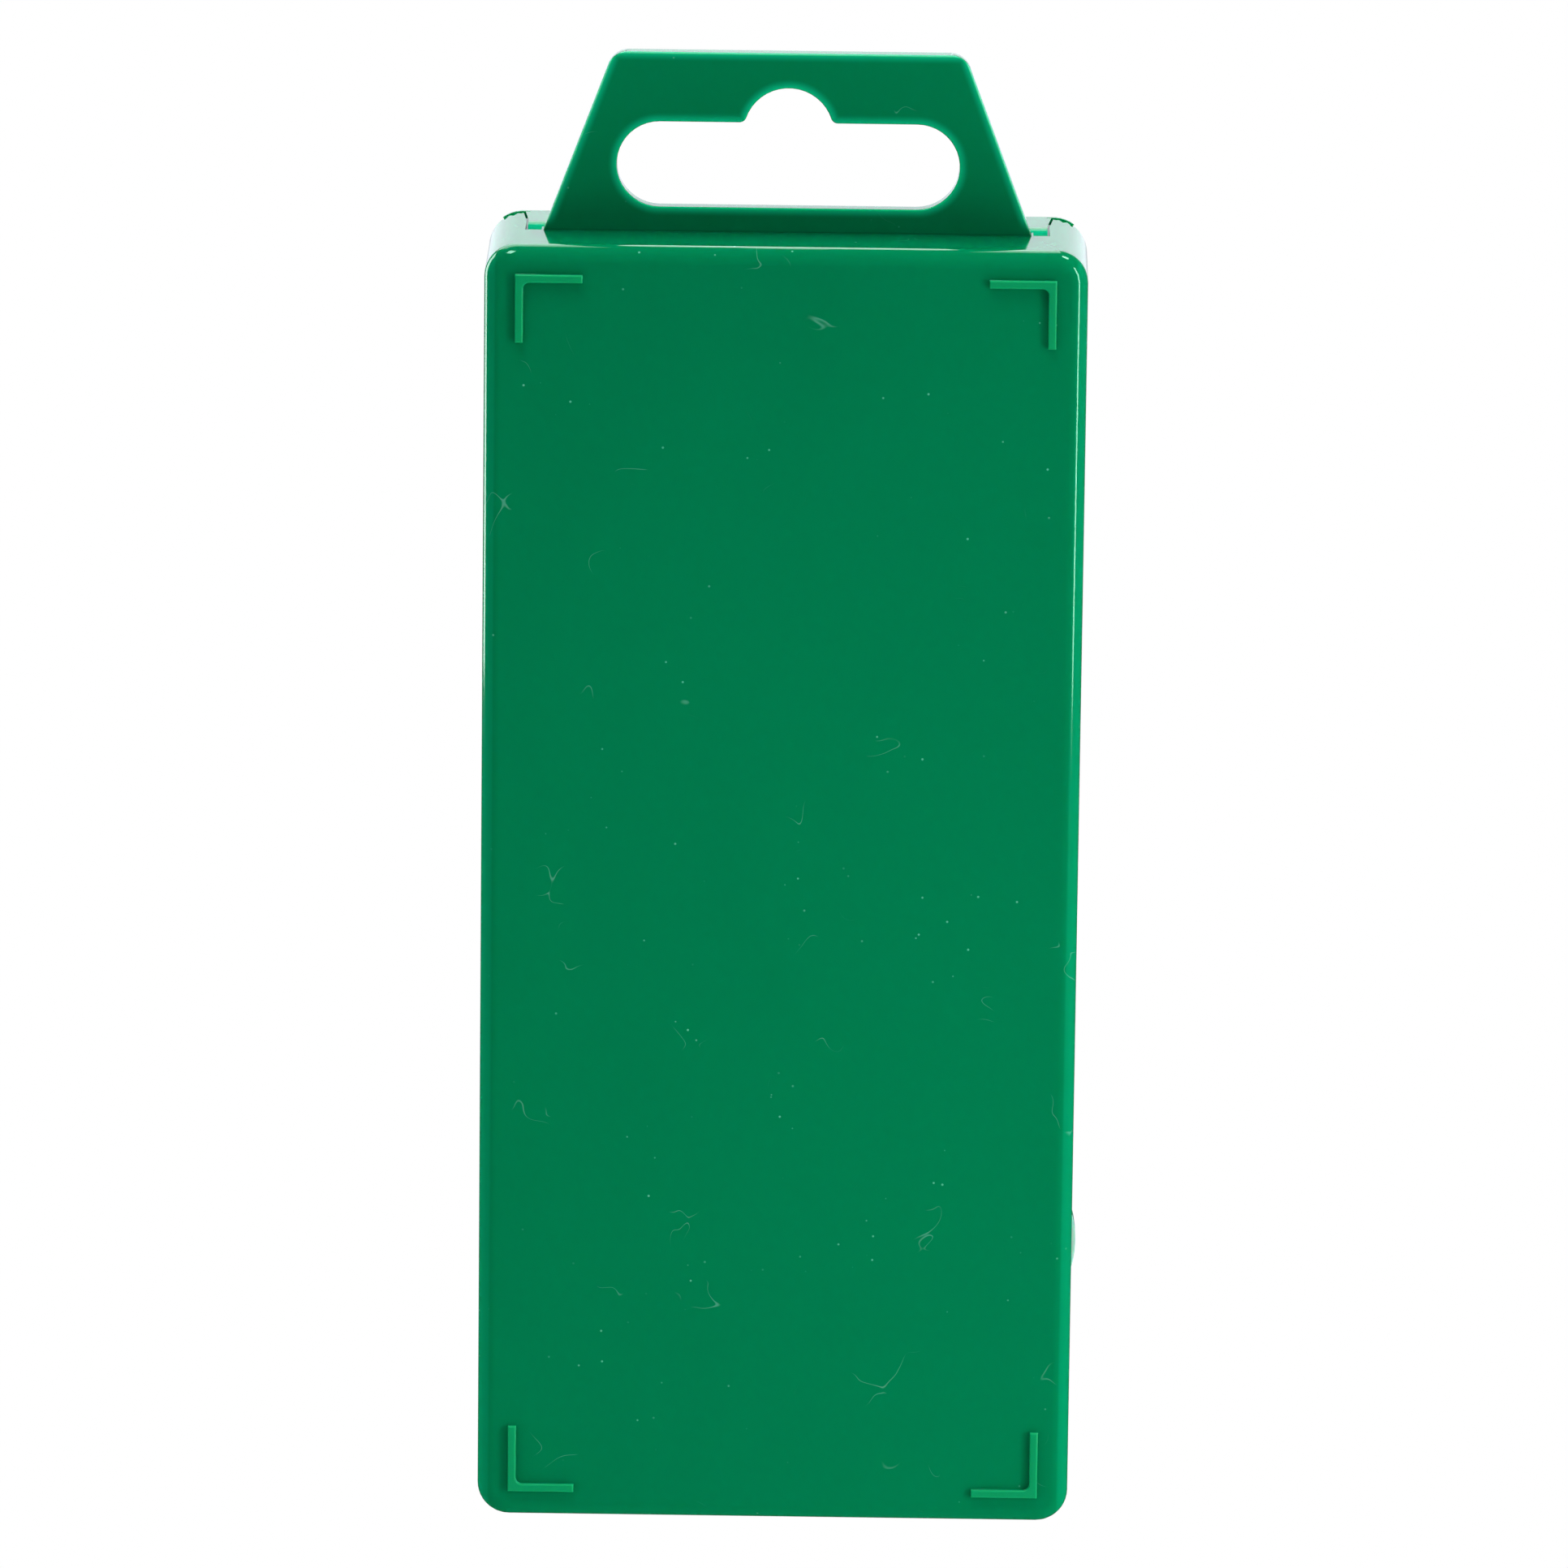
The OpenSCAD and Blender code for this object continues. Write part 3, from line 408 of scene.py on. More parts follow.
def cover_greens(tree, place, base, settings):
    """The cover's greens with painted light: a painted glow on the barrel at its rear and on the thumb lip,
    and a painted highlight on the lip's rear face.
    """
    barrel_start, barrel_full = 1.6 * MM, 1.0 * MM
    lip_start, lip_full = 0.9 * MM, 0.5 * MM
    rim_start, rim_full = 0.6 * MM, 1.2 * MM
    low, high = span("front_cover")
    tip, front, rear = low[0], low[1], high[1]
    x, y = tree.axis(place, "X"), tree.axis(place, "Y")
    # Painted light: the barrel at the cover's rear is painted lighter, as a glow of light through it
    barrel = y.ramp(rear - barrel_start, rear - barrel_full)
    base = tree.mix(barrel, base, shade(settings.edge_green))
    # Painted glow on the thin thumb lip, and a painted highlight on its rear face
    lip = x.ramp(tip + lip_start, tip + lip_full) * y.ramp(front + rim_start, front + rim_full)
    base = tree.mix(lip, base, shade(settings.lip_green))
    return tree.mix(lip * tree.facing().ramp(0.5, 0.9), base, shade(settings.lip_pale))


def moulded_green(name, settings, rib_top=None):
    """Glossy translucent moulding with dust, fine hairs, a slightly wavy skin, and painted light and shade.

    With rib_top it is the shell's, whose ribs beyond that depth keep the dull grain of the mould and are
    painted lighter;
    without it, the cover's.
    """
    cloud_scale, cloud_vary = 28, 0.05
    smear_scale, smear_rough = 160, 0.02
    wave_scale, wave_height, wave_strength = 70, 0.02 * MM, 0.05
    rib_start, rib_full, rib_rough = 0.45 * MM, 0.3 * MM, 0.35
    dirt_rough, speck_light = 0.12, 1.6
    green = settings.green
    material, tree = new_material(name)
    place = tree.place()
    cloud = tree.noise(tree.place((1, 1, 0.4)), cloud_scale, 3.0).ramp(0.25, 0.75)
    base = tree.mix(cloud, shade(green, 1 - cloud_vary), shade(green, 1 + cloud_vary))
    hair, speck = dust(tree, place, settings)
    base = tree.mix(hair * settings.hair_strength, base, shade(settings.dirt))
    base = tree.mix(speck * settings.speck_strength, base, shade(settings.dirt, speck_light))
    smear = tree.noise(tree.place((1, 1, 0.25)), smear_scale, 3.0).ramp(0.55, 0.8)
    rough = settings.roughness + smear_rough * smear + dirt_rough * hair.larger(speck)
    if rib_top is None:
        base = cover_greens(tree, place, base, settings)
    else:
        # The ribs' duller grain is real roughness; their lighter colour is painted light, added in the
        # shell's greens
        rib = tree.axis(place, "Y").ramp(rib_top - rib_start, rib_top - rib_full)
        base = shell_greens(tree, place, base, settings, rib)
        rough = rough + rib_rough * rib
    normal = tree.bump(tree.noise(place, wave_scale, 1.0), wave_height, wave_strength)
    tree.surface(tree.principled(
        base_color=base, roughness=rough, normal=normal, ior=1.55, specular_tint=(0.5, 1.0, 0.8, 1),
        subsurface_weight=settings.glow, subsurface_radius=(0.15, 1.0, 0.55),
        subsurface_scale=settings.glow_depth))
    return material


def clear(name):
    """Clear sheet, glass or liquid: see-through face on, with a glossy skin that thickens at its edges.

    cover = veil + edge * facing^5, where facing is 0 face on and 1 at the outline: a mirror skin with
    veil 0.04 and edge 0.96 reflects as glass does.
    """
    mist_scale, mist_cover, mist_rough = 300, 0.01, 0.03
    tint, veil, edge, skin, roughness, metallic = CLEAR[name]
    material, tree = new_material(name)
    facing = tree.add("ShaderNodeLayerWeight", None, {"Blend": 0.5}, output="Facing")
    mist = tree.noise(tree.place(), mist_scale, 3.0)
    cover = veil + edge * facing ** 5 + mist_cover * mist.ramp(0.5, 0.8)
    rough = roughness + mist_rough * mist
    coat = tree.principled(base_color=shade(skin), roughness=rough, metallic=metallic, ior=1.5)
    tree.surface(tree.mix_shader(cover, tree.transparent(shade(tint)), coat))
    return material


def coat_mesh(mesh, material):
    """Gives a mesh one finish in place of those it had."""
    mesh.materials.clear()
    mesh.materials.append(material)


def link(obj, material, body, slot):
    """Puts a finished piece in the scene, on its body and with its finish."""
    bpy.context.scene.collection.objects.link(obj)
    coat_mesh(obj.data, material)
    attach(obj, body)


def slot_of(node):
    return next(s["material_slot"] for s in frame["record"]["subparts"] if s["node"] == node)


def sharp_edges(mesh):
    """1 for every edge of a closed mesh whose two faces turn by more than SHARP, 0 for the others."""
    edge = np.empty(len(mesh.loops), dtype=np.int32)
    mesh.loops.foreach_get("edge_index", edge)
    sides = np.empty(len(mesh.polygons), dtype=np.int32)
    mesh.polygons.foreach_get("loop_total", sides)
    normal = np.empty(len(mesh.polygons) * 3)
    mesh.polygons.foreach_get("normal", normal)
    owner = np.repeat(np.arange(len(sides)), sides)
    pairs = owner[np.argsort(edge, kind="stable")].reshape(-1, 2)
    first, second = normal.reshape(-1, 3)[pairs.T]
    return (np.sum(first * second, axis=1) < math.cos(SHARP)).astype(float)


def mesh_points(mesh):
    """Corners of a mesh as rows of an array."""
    points = np.empty(len(mesh.vertices) * 3)
    mesh.vertices.foreach_get("co", points)
    return points.reshape(-1, 3)


def edge_middles(mesh):
    """Middle point of every edge."""
    ends = np.empty(len(mesh.edges) * 2, dtype=np.int32)
    mesh.edges.foreach_get("vertices", ends)
    return mesh_points(mesh)[ends.reshape(-1, 2)].mean(axis=1)


def dressed_copy(node, material, edge, soft=None, segments=3):
    """A copy of a node with merged corners, joined flat faces and sharp edges rounded by edge millimetres.

    soft gives other roundings in millimetres from the middle points of the edges.
    """
    cad = frame["nodes"][node]
    solid = bmesh.new()
    solid.from_mesh(cad.data)
    bmesh.ops.remove_doubles(solid, verts=solid.verts[:], dist=WELD)
    bmesh.ops.dissolve_limit(solid, angle_limit=FLAT, verts=solid.verts[:], edges=solid.edges[:])
    mesh = bpy.data.meshes.new(node + "_finished")
    solid.to_mesh(mesh)
    solid.free()
    mesh.shade_smooth()
    middles = edge_middles(mesh)
    widths = np.full(len(middles), edge) if soft is None else soft(middles)
    weight = mesh.attributes.new("bevel_weight_edge", "FLOAT", "EDGE")
    weight.data.foreach_set("value", sharp_edges(mesh) * widths / widths.max())
    piece = bpy.data.objects.new(node + "_finished", mesh)
    rounding = piece.modifiers.new("rounded_edges", "BEVEL")
    rounding.width = widths.max() * MM
    rounding.segments = segments
    rounding.limit_method = "WEIGHT"
    rounding.use_clamp_overlap = False
    piece.modifiers.new("flat_faces", "WEIGHTED_NORMAL").weight = 100
    link(piece, material, cad["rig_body"], slot_of(node))
    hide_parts(node)


def dress(finishes):
    """Dressed copies of several nodes, each with its finish and its rounding."""
    for node, finish in finishes.items():
        dressed_copy(node, finish, ROUNDINGS[node])


def ring_mesh(rings):
    """Quads between neighbouring rings of points; rings has the shape (ring, point, 3)."""
    rows, sides = rings.shape[:2]
    index = np.arange(rows * sides).reshape(rows, sides)
    here, there = index[:-1], index[1:]
    quads = np.stack([here, np.roll(here, -1, axis=1), np.roll(there, -1, axis=1), there], axis=-1)
    return rings.reshape(-1, 3), quads.reshape(-1, 4)


def mesh_piece(name, parts):
    """An object of one or more (points, faces) shells with their doubled points merged."""
    solid = bmesh.new()
    for points, faces in parts:
        shell = bpy.data.meshes.new(name)
        shell.from_pydata(points, [], faces)
        solid.from_mesh(shell)
        bpy.data.meshes.remove(shell)
    bmesh.ops.remove_doubles(solid, verts=solid.verts[:], dist=SEAM)
    mesh = bpy.data.meshes.new(name)
    solid.to_mesh(mesh)
    solid.free()
    mesh.shade_smooth()
    return bpy.data.objects.new(name, mesh)


class UTube:
    """The middle line of the glass: down the left limb, round the bend and up the right limb."""

    def __init__(self):
        glass_low, glass_high = span("u_tube")
        left = span("min_index")
        right = span("max_index")
        self.limb_x = (right[0][0] + right[1][0]) / 2
        self.y = (left[0][1] + left[1][1]) / 2
        self.bend_z = span("bend_cradle")[1][2]
        self.radius = self.bend_z - self.limb_x - glass_low[2]
        self.thread = self.bend_z - self.limb_x - span("indicator_liquid")[0][2]
        self.limb_top = span("main_spirit")[0][2]
        self.bulb_top = glass_high[2]
        self.main_bulb = -self.limb_x - glass_low[0]
        self.small_bulb = glass_high[0] - self.limb_x
        self.bend = math.pi * self.limb_x

    def turn(self, s):
        """Angle from straight down at s metres past the lowest point: s / limb_x, held at the bend's ends."""
        half = self.bend / 2
        return np.clip(s, -half, half) / self.limb_x

    def point(self, s):
        """Place on the middle line at s metres past the lowest point, negative towards the left limb.

        On the bend it is (sin turn, -cos turn) * limb_x from the bend's middle; beyond it runs straight up.
        """
        turn = self.turn(s)
        climb = np.maximum(np.abs(s) - self.bend / 2, 0)
        x = self.limb_x * np.sin(turn)
        z = self.bend_z - self.limb_x * np.cos(turn) + climb
        return np.stack([x, np.full_like(x, self.y), z], axis=-1)

    def along(self, z):
        """Distance past the lowest point at which a limb reaches the height z."""
        return self.bend / 2 + z - self.bend_z

    def sweep(self, s, radius, sides=40):
        """Rings about the middle line: ring point = line + radius * (cos a * across + sin a * Y)."""
        lean = self.turn(s) + math.pi / 2
        across = np.stack([np.cos(lean), np.zeros_like(s), np.sin(lean)], axis=-1)
        angle = np.linspace(0, FULL_TURN, sides, endpoint=False)[None, :, None]
        spoke = np.cos(angle) * across[:, None] + np.sin(angle) * DEPTH
        return self.point(s)[:, None] + radius[:, None, None] * spoke


def stations(start, end, count):
    """Places from start to end that crowd towards both: start + (end - start) * (1 - cos t) / 2."""
    ease = (1 - np.cos(np.linspace(0, math.pi, count))) / 2
    return start + (end - start) * ease


def bulb_radius(tube, s, limb, left, right, left_top, right_top):
    """Radius along the middle line: limb, smooth shoulder, bulb, and a round end that closes at each top."""
    rise = np.abs(s) - tube.along(tube.limb_top)
    bulb = np.where(s < 0, left, right)
    top = np.where(s < 0, left_top, right_top)
    step = np.clip(rise / SHOULDER, 0, 1)
    blend = step * step * (3 - 2 * step)
    body = limb + (bulb - limb) * blend
    into_end = np.clip((np.abs(s) - (top - bulb)) / bulb, 0, 1)
    return body * np.sqrt(np.maximum(1 - into_end ** 2, 0))


class CaseSettings(bpy.types.PropertyGroup):
    """Finish of the moulded case, with the colours of its painted light and shade"""

    green: FloatVectorProperty(
        name="Green", description="Colour of the moulding", subtype="COLOR",
        default=(0.0, 0.186, 0.069))
    # Painted light: lighter green painted on the long sides, the cover's barrel and the hanger's edges, as a
    # glow of light through thin plastic
    edge_green: FloatVectorProperty(
        name="Edge green", description="Colour of thin edges that light passes", subtype="COLOR",
        default=(0.002, 0.41, 0.2))
    # Painted highlight: paler green painted on the hanger's outermost edge
    rim_green: FloatVectorProperty(
        name="Rim green", description="Colour of the hanger's outermost edge", subtype="COLOR",
        default=(0.1, 0.5, 0.32))
    # Painted glow: lighter green painted on the thin thumb lip, as if light passes through it
    lip_green: FloatVectorProperty(
        name="Lip green", description="Thin thumb lip with light through it", subtype="COLOR",
        default=(0.03, 0.36, 0.2))
    # Painted highlight: pale colour painted on the rear face of the thumb lip
    lip_pale: FloatVectorProperty(
        name="Lip pale", description="Rear of the thumb lip", subtype="COLOR",
        default=(0.42, 0.58, 0.53))
    dirt: FloatVectorProperty(
        name="Dust", description="Colour of dust and hairs", subtype="COLOR",
        default=(0.12, 0.42, 0.3))
    roughness: FloatProperty(
        name="Roughness", description="Roughness of the polished skin", default=0.06)
    glow: FloatProperty(
        name="Glow", description="Share of light that passes into the plastic", default=0.8)
    glow_depth: FloatProperty(
        name="Glow depth", description="Depth that light reaches", default=0.8 * MM, unit="LENGTH",
        precision=5)
    hair_strength: FloatProperty(
        name="Hair strength", description="Cover of the hairs", default=0.5)
    hair_scale: FloatProperty(
        name="Hair scale", description="Curls of the fine hairs in one metre", default=210)
    hair_width: FloatProperty(
        name="Hair width", description="Half width of a hair as a noise level", default=0.005)
    speck_scale: FloatProperty(
        name="Speck scale", description="Specks in one metre", default=700)
    speck_size: FloatProperty(
        name="Speck size", description="Radius of a speck in cells", default=0.1)
    speck_strength: FloatProperty(
        name="Speck strength", description="Cover of the specks", default=0.6)
    edge: FloatProperty(
        name="Edge", description="Rounding of the moulded edges in millimetres", default=0.04)
    hanger_edge: FloatProperty(
        name="Hanger edge", description="Rounding of the hanger's edges in millimetres", default=0.14)
    rib_edge: FloatProperty(
        name="Rib edge", description="Rounding of the rib edges in millimetres", default=0.15)
    rib_height: FloatProperty(
        name="Rib height", description="Height of the back ribs", default=0.5 * MM, unit="LENGTH",
        precision=5)
    # Width of the painted glow along the hanger's edges
    glow_width: FloatProperty(
        name="Glow width", description="Width of the light edges", default=0.9 * MM, unit="LENGTH",
        precision=5)
    tab_half: FloatProperty(
        name="Hanger half width", description="Half width at its top", default=16.4 * MM, unit="LENGTH",
        precision=5)
    tab_lean: FloatProperty(
        name="Hanger lean", description="Lean of its sides", default=math.radians(20.78), subtype="ANGLE")
    tab_foot: FloatProperty(
        name="Hanger foot", description="Half width at its foot", default=22.85 * MM, unit="LENGTH",
        precision=5)
    tab_back: FloatProperty(
        name="Hanger back", description="Depth of its rear face", default=1.0 * MM, unit="LENGTH",
        precision=5)
    slot_reach: FloatProperty(
        name="Slot reach", description="Middle to the round ends", default=12 * MM, unit="LENGTH",
        precision=5)
    slot_z: FloatProperty(
        name="Slot height", description="Middle line of the slot", default=-7.25 * MM, unit="LENGTH",
        precision=5)
    slot_r: FloatProperty(
        name="Slot radius", description="Radius of its ends", default=4 * MM, unit="LENGTH", precision=5)
    dome_r: FloatProperty(
        name="Dome radius", description="Radius of its dome", default=4.2 * MM, unit="LENGTH", precision=5)


class FrontSettings(bpy.types.PropertyGroup):
    """Finishes and print behind the window"""

    plate: FloatVectorProperty(
        name="Plate", description="Colour of the scale plate", subtype="COLOR",
        default=(0.82, 0.82, 0.79))
    ink: FloatVectorProperty(
        name="Ink", description="Colour of the scale print", subtype="COLOR",
        default=(0.012, 0.013, 0.016))
    liquid: FloatVectorProperty(
        name="Liquid", description="Colour of the indicator", subtype="COLOR",
        default=(0.008, 0.03, 0.2))
    max_sheath: FloatVectorProperty(
        name="Maximum index", description="Colour of its sheath", subtype="COLOR",
        default=(0.62, 0.02, 0.02))
    min_sheath: FloatVectorProperty(
        name="Minimum index", description="Colour of its sheath", subtype="COLOR",
        default=(0.02, 0.08, 0.55))
    steel: FloatVectorProperty(
        name="Steel", description="Colour of bright steel", subtype="COLOR",
        default=(0.62, 0.62, 0.64))
    clip: FloatVectorProperty(
        name="Clips", description="Colour of the saddles and the cradle", subtype="COLOR",
        default=(0.76, 0.76, 0.73))
    rivet: FloatVectorProperty(
        name="Rivets", description="Colour of the rivets", subtype="COLOR",
        default=(0.76, 0.76, 0.78))
    red: FloatVectorProperty(
        name="Red", description="Colour of the button", subtype="COLOR",
        default=(0.5, 0.02, 0.015))
    guide: FloatVectorProperty(
        name="Guide", description="Colour of the button's guide", subtype="COLOR",
        default=(0.42, 0.43, 0.44))
    carrier: FloatVectorProperty(
        name="Carrier", description="Colour of the magnet carrier", subtype="COLOR",
        default=(0.1, 0.1, 0.11))
    magnet: FloatVectorProperty(
        name="Magnets", description="Colour of the magnet strips", subtype="COLOR",
        default=(0.06, 0.045, 0.038))
    figure: FloatProperty(
        name="Figure height", description="Height of the scale figures", default=2.4 * MM, unit="LENGTH",
        precision=5)
    word: FloatProperty(
        name="Word height", description="Height of the words over the scales", default=1.75 * MM,
        unit="LENGTH", precision=5)
    label: FloatProperty(
        name="Label height", description="Height of the button's label", default=2.0 * MM, unit="LENGTH",
        precision=5)
    print_height: FloatProperty(
        name="Print height", description="Thickness of the print", default=0.04 * MM, unit="LENGTH",
        precision=5)
    wire: FloatProperty(
        name="Spring wire", description="Thickness of the spring's wire", default=0.4 * MM, unit="LENGTH",
        precision=5)
    coldest: IntProperty(name="Coldest", description="Lowest mark of the scales", default=-30)
    hottest: IntProperty(name="Hottest", description="Highest mark of the scales", default=50)


class StageSettings(bpy.types.PropertyGroup):
    """Camera, lamps and floor"""

    lens: FloatProperty(name="Lens", description="Focal length for a 36 mm sensor", default=242.2)
    distance: FloatProperty(
        name="Distance", description="From the camera to the aim point", default=986.7 * MM, unit="LENGTH")
    pitch: FloatProperty(
        name="Pitch", description="How far the camera looks down", default=math.radians(11.963),
        subtype="ANGLE")
    yaw: FloatProperty(
        name="Yaw", description="How far the camera stands to one side", default=math.radians(-0.445),
        subtype="ANGLE")
    roll: FloatProperty(
        name="Roll", description="Turn of the camera about its axis", default=math.radians(0.666),
        subtype="ANGLE")
    aim: FloatVectorProperty(
        name="Aim", description="Point in the middle of the picture", subtype="TRANSLATION",
        default=(-0.348 * MM, 10.2 * MM, -64.249 * MM), precision=5)
    floor_drop: FloatProperty(
        name="Floor drop", description="Height of the case above the floor", default=0.3, unit="LENGTH")
    floor_radius: FloatProperty(
        name="Floor radius", description="Radius of the floor", default=0.6, unit="LENGTH")
    ambient: FloatProperty(
        name="Ambient", description="Light of the surroundings", default=0.2)
    front_light: FloatProperty(
        name="Front light", description="Soft light from the reader's side", default=0.4)
    backdrop: FloatProperty(
        name="Backdrop", description="White that glossy skins mirror", default=1.22)
    clear_layers: IntProperty(
        name="Clear layers", description="Clear surfaces that light passes through pane, tube and filling",
        default=32)


def view_axes(stage):
    """Right, up and forward of the camera, which stands behind the case and looks towards its back."""
    sin_p, cos_p = math.sin(stage.pitch), math.cos(stage.pitch)
    sin_y, cos_y = math.sin(stage.yaw), math.cos(stage.yaw)
    right = Vector((-cos_y, sin_y, 0))
    up = Vector((-sin_y * sin_p, -cos_y * sin_p, cos_p))
    forward = Vector((-sin_y * cos_p, -cos_y * cos_p, -sin_p))
    sin_r, cos_r = math.sin(stage.roll), math.cos(stage.roll)
    return right * cos_r + up * sin_r, up * cos_r - right * sin_r, forward


def soft_lamp(name, around):
    """Rectangle of light that faces a point, from its row of LAMPS."""
    turn, climb, reach, width, height, glow, mirrored = LAMPS[name]
    lamp = bpy.data.lights.new(name, "AREA")
    lamp.shape = "RECTANGLE"
    lamp.size, lamp.size_y = width, height
    lamp.energy = glow * math.pi * width * height
    obj = bpy.data.objects.new(name, lamp)
    turn, climb = math.radians(turn), math.radians(climb)
    level = math.cos(climb)
    away = Vector((math.sin(turn) * level, math.cos(turn) * level, math.sin(climb)))
    obj.location = around + away * reach
    obj.rotation_euler = away.to_track_quat("Z", "Y").to_euler()
    obj.visible_glossy = mirrored
    bpy.context.scene.collection.objects.link(obj)


def white_world(stage):
    """White for the camera; gloss sees a white backdrop and dark elsewhere; the rest is soft light."""
    dark = 0.02
    cool = (0.98, 1.0, 1.1, 1)
    wall_edge, wall_full = 0.8, 0.93
    horizon_edge, horizon_full = -0.2, -0.1
    front_edge, front_full = -0.1, 0.7
    path = "ShaderNodeLightPath"
    world = bpy.data.worlds.new("white_surround")
    tree = NodeTree(world)
    camera = tree.add(path, output="Is Camera Ray")
    gloss = tree.add(path, output="Is Glossy Ray").larger(tree.add(path, output="Is Transmission Ray"))
    direction = tree.add("ShaderNodeTexCoord", output="Generated")
    away = 0 - tree.axis(direction, "Y")
    climb = tree.axis(direction, "Z")
    white = away.ramp(wall_edge, wall_full) * climb.ramp(horizon_edge, horizon_full)
    mirrored = stage.backdrop * white + dark
    ambient = stage.ambient + stage.front_light * away.ramp(front_edge, front_full)
    unseen = gloss * mirrored + (1 - gloss) * ambient
    strength = camera + (1 - camera) * unseen
    tint = tree.mix(camera, cool, WHITE)
    background = tree.add("ShaderNodeBackground", None, {"Color": tint, "Strength": strength})
    tree.add("ShaderNodeOutputWorld", None, {"Surface": background})
    bpy.context.scene.world = world


def pale_floor(stage, centre):
    """Disc of pale floor that takes the case's shadow, fades into the white and is clear from below."""
    corners = 96
    pale, dull = (0.9, 0.9, 0.9, 1), 0.9
    fade_start, fade_end = 0.35 * stage.floor_radius, 0.9 * stage.floor_radius
    angle = np.linspace(0, FULL_TURN, corners, endpoint=False)
    rim = np.stack([np.cos(angle), np.sin(angle), np.zeros_like(angle)], axis=-1) * stage.floor_radius
    mesh = bpy.data.meshes.new("floor")
    mesh.from_pydata(rim + np.array(centre), [], [list(range(corners))])
    floor = bpy.data.objects.new("floor", mesh)
    bpy.context.scene.collection.objects.link(floor)
    material, tree = new_material("pale_floor")
    place = tree.place(offset=tuple(-c for c in centre))
    far = tree.add("ShaderNodeVectorMath", {"operation": "LENGTH"}, {0: place}, output="Value")
    seen = tree.add("ShaderNodeLightPath", output="Is Camera Ray")
    matt = tree.principled(base_color=pale, roughness=dull)
    white = tree.add("ShaderNodeEmission", None, {"Color": WHITE, "Strength": 1.0})
    upper = tree.mix_shader(far.ramp(fade_start, fade_end) * seen, matt, white)
    under = tree.add("ShaderNodeNewGeometry", output="Backfacing")
    tree.surface(tree.mix_shader(under, upper, tree.transparent(WHITE)))
    mesh.materials.append(material)
    floor.visible_glossy = False


class THERMOMETER_OT_stage(bpy.types.Operator):
    """Sets up the camera at the photograph's angle, the lamps, the white surroundings and the floor"""

    bl_idname = "thermometer.stage"
    bl_label = "Stage"

    def execute(self, context):
        scene = context.scene
        stage = scene.thermometer_stage
        scene.view_settings.view_transform = "Standard"
        scene.cycles.transparent_max_bounces = stage.clear_layers
        right, up, forward = view_axes(stage)
        data = bpy.data.cameras.new("camera")
        data.lens = stage.lens
        data.clip_start = 10 * MM
        camera = bpy.data.objects.new("camera", data)
        camera.matrix_world = Matrix((right, up, -forward)).transposed().to_4x4()
        camera.location = Vector(stage.aim) - forward * stage.distance
        scene.collection.objects.link(camera)
        scene.camera = camera
        low, high = span("rear_shell")
        middle = Vector((low + high) / 2)
        white_world(stage)
        pale_floor(stage, (middle.x, middle.y, low[2] - stage.floor_drop))
        for name in LAMPS:
            soft_lamp(name, middle)
        return {"FINISHED"}


class THERMOMETER_OT_case(bpy.types.Operator):
    """Dresses the rear shell and the front cover as glossy green mouldings"""

    bl_idname = "thermometer.case"
    bl_label = "Case"

    def execute(self, context):
        settings = context.scene.thermometer_case
        above_wall = 0.5 * MM
        rib_top = span("rear_shell")[1][1]
        rib_foot = rib_top - settings.rib_height / 2
        hanger_foot = span("front_cover")[1][2] + above_wall

        def roundings(middles):
            back = np.where(middles[:, 1] > rib_foot, settings.rib_edge, settings.edge)
            return np.where(middles[:, 2] > hanger_foot, settings.hanger_edge, back)

        shell = moulded_green("shell_green", settings, rib_top)
        dressed_copy("rear_shell", shell, settings.edge, roundings)
        dressed_copy("front_cover", moulded_green("cover_green", settings), settings.edge)
        return {"FINISHED"}


class THERMOMETER_OT_window(bpy.types.Operator):
    """Glazes the cover with its clear pane"""

    bl_idname = "thermometer.window"
    bl_label = "Window"

    def execute(self, context):
        dressed_copy("cover_window", clear("clear_pane"), ROUNDINGS["cover_window"], segments=2)
        return {"FINISHED"}


def bars(low, high):
    """Closed boxes between rows of low and high corners; the bits of j say where corner j takes the high."""
    bits = (np.arange(8)[:, None] >> np.arange(3)) & 1
    points = np.where(bits[None] == 1, high[:, None], low[:, None])
    box = np.array([[0, 4, 6, 2], [1, 3, 7, 5], [0, 1, 5, 4], [2, 6, 7, 3], [0, 2, 3, 1], [4, 5, 7, 6]])
    faces = box[None] + 8 * np.arange(len(low))[:, None, None]
    return points.reshape(-1, 3), faces.reshape(-1, 4)


def scale_marks(marks, heights, side, start, front, lift):
    """Bars of one scale, outwards from start: long thick tens, shorter fives and short ones."""
    long, medium, short = 3.2, 2.4, 1.6
    thick, thin = 0.13, 0.08
    tens, fives = marks % 10 == 0, marks % 5 == 0
    reach = np.where(tens, long, np.where(fives, medium, short)) * MM
    half = np.where(tens, thick, thin) * MM
    near, far = side * np.full(len(marks), start), side * (start + reach)
    depth = np.full(len(marks), front)
    low = np.stack([np.minimum(near, far), depth - lift, heights - half], axis=-1)
    high = np.stack([np.maximum(near, far), depth + lift, heights + half], axis=-1)
    return bars(low, high)


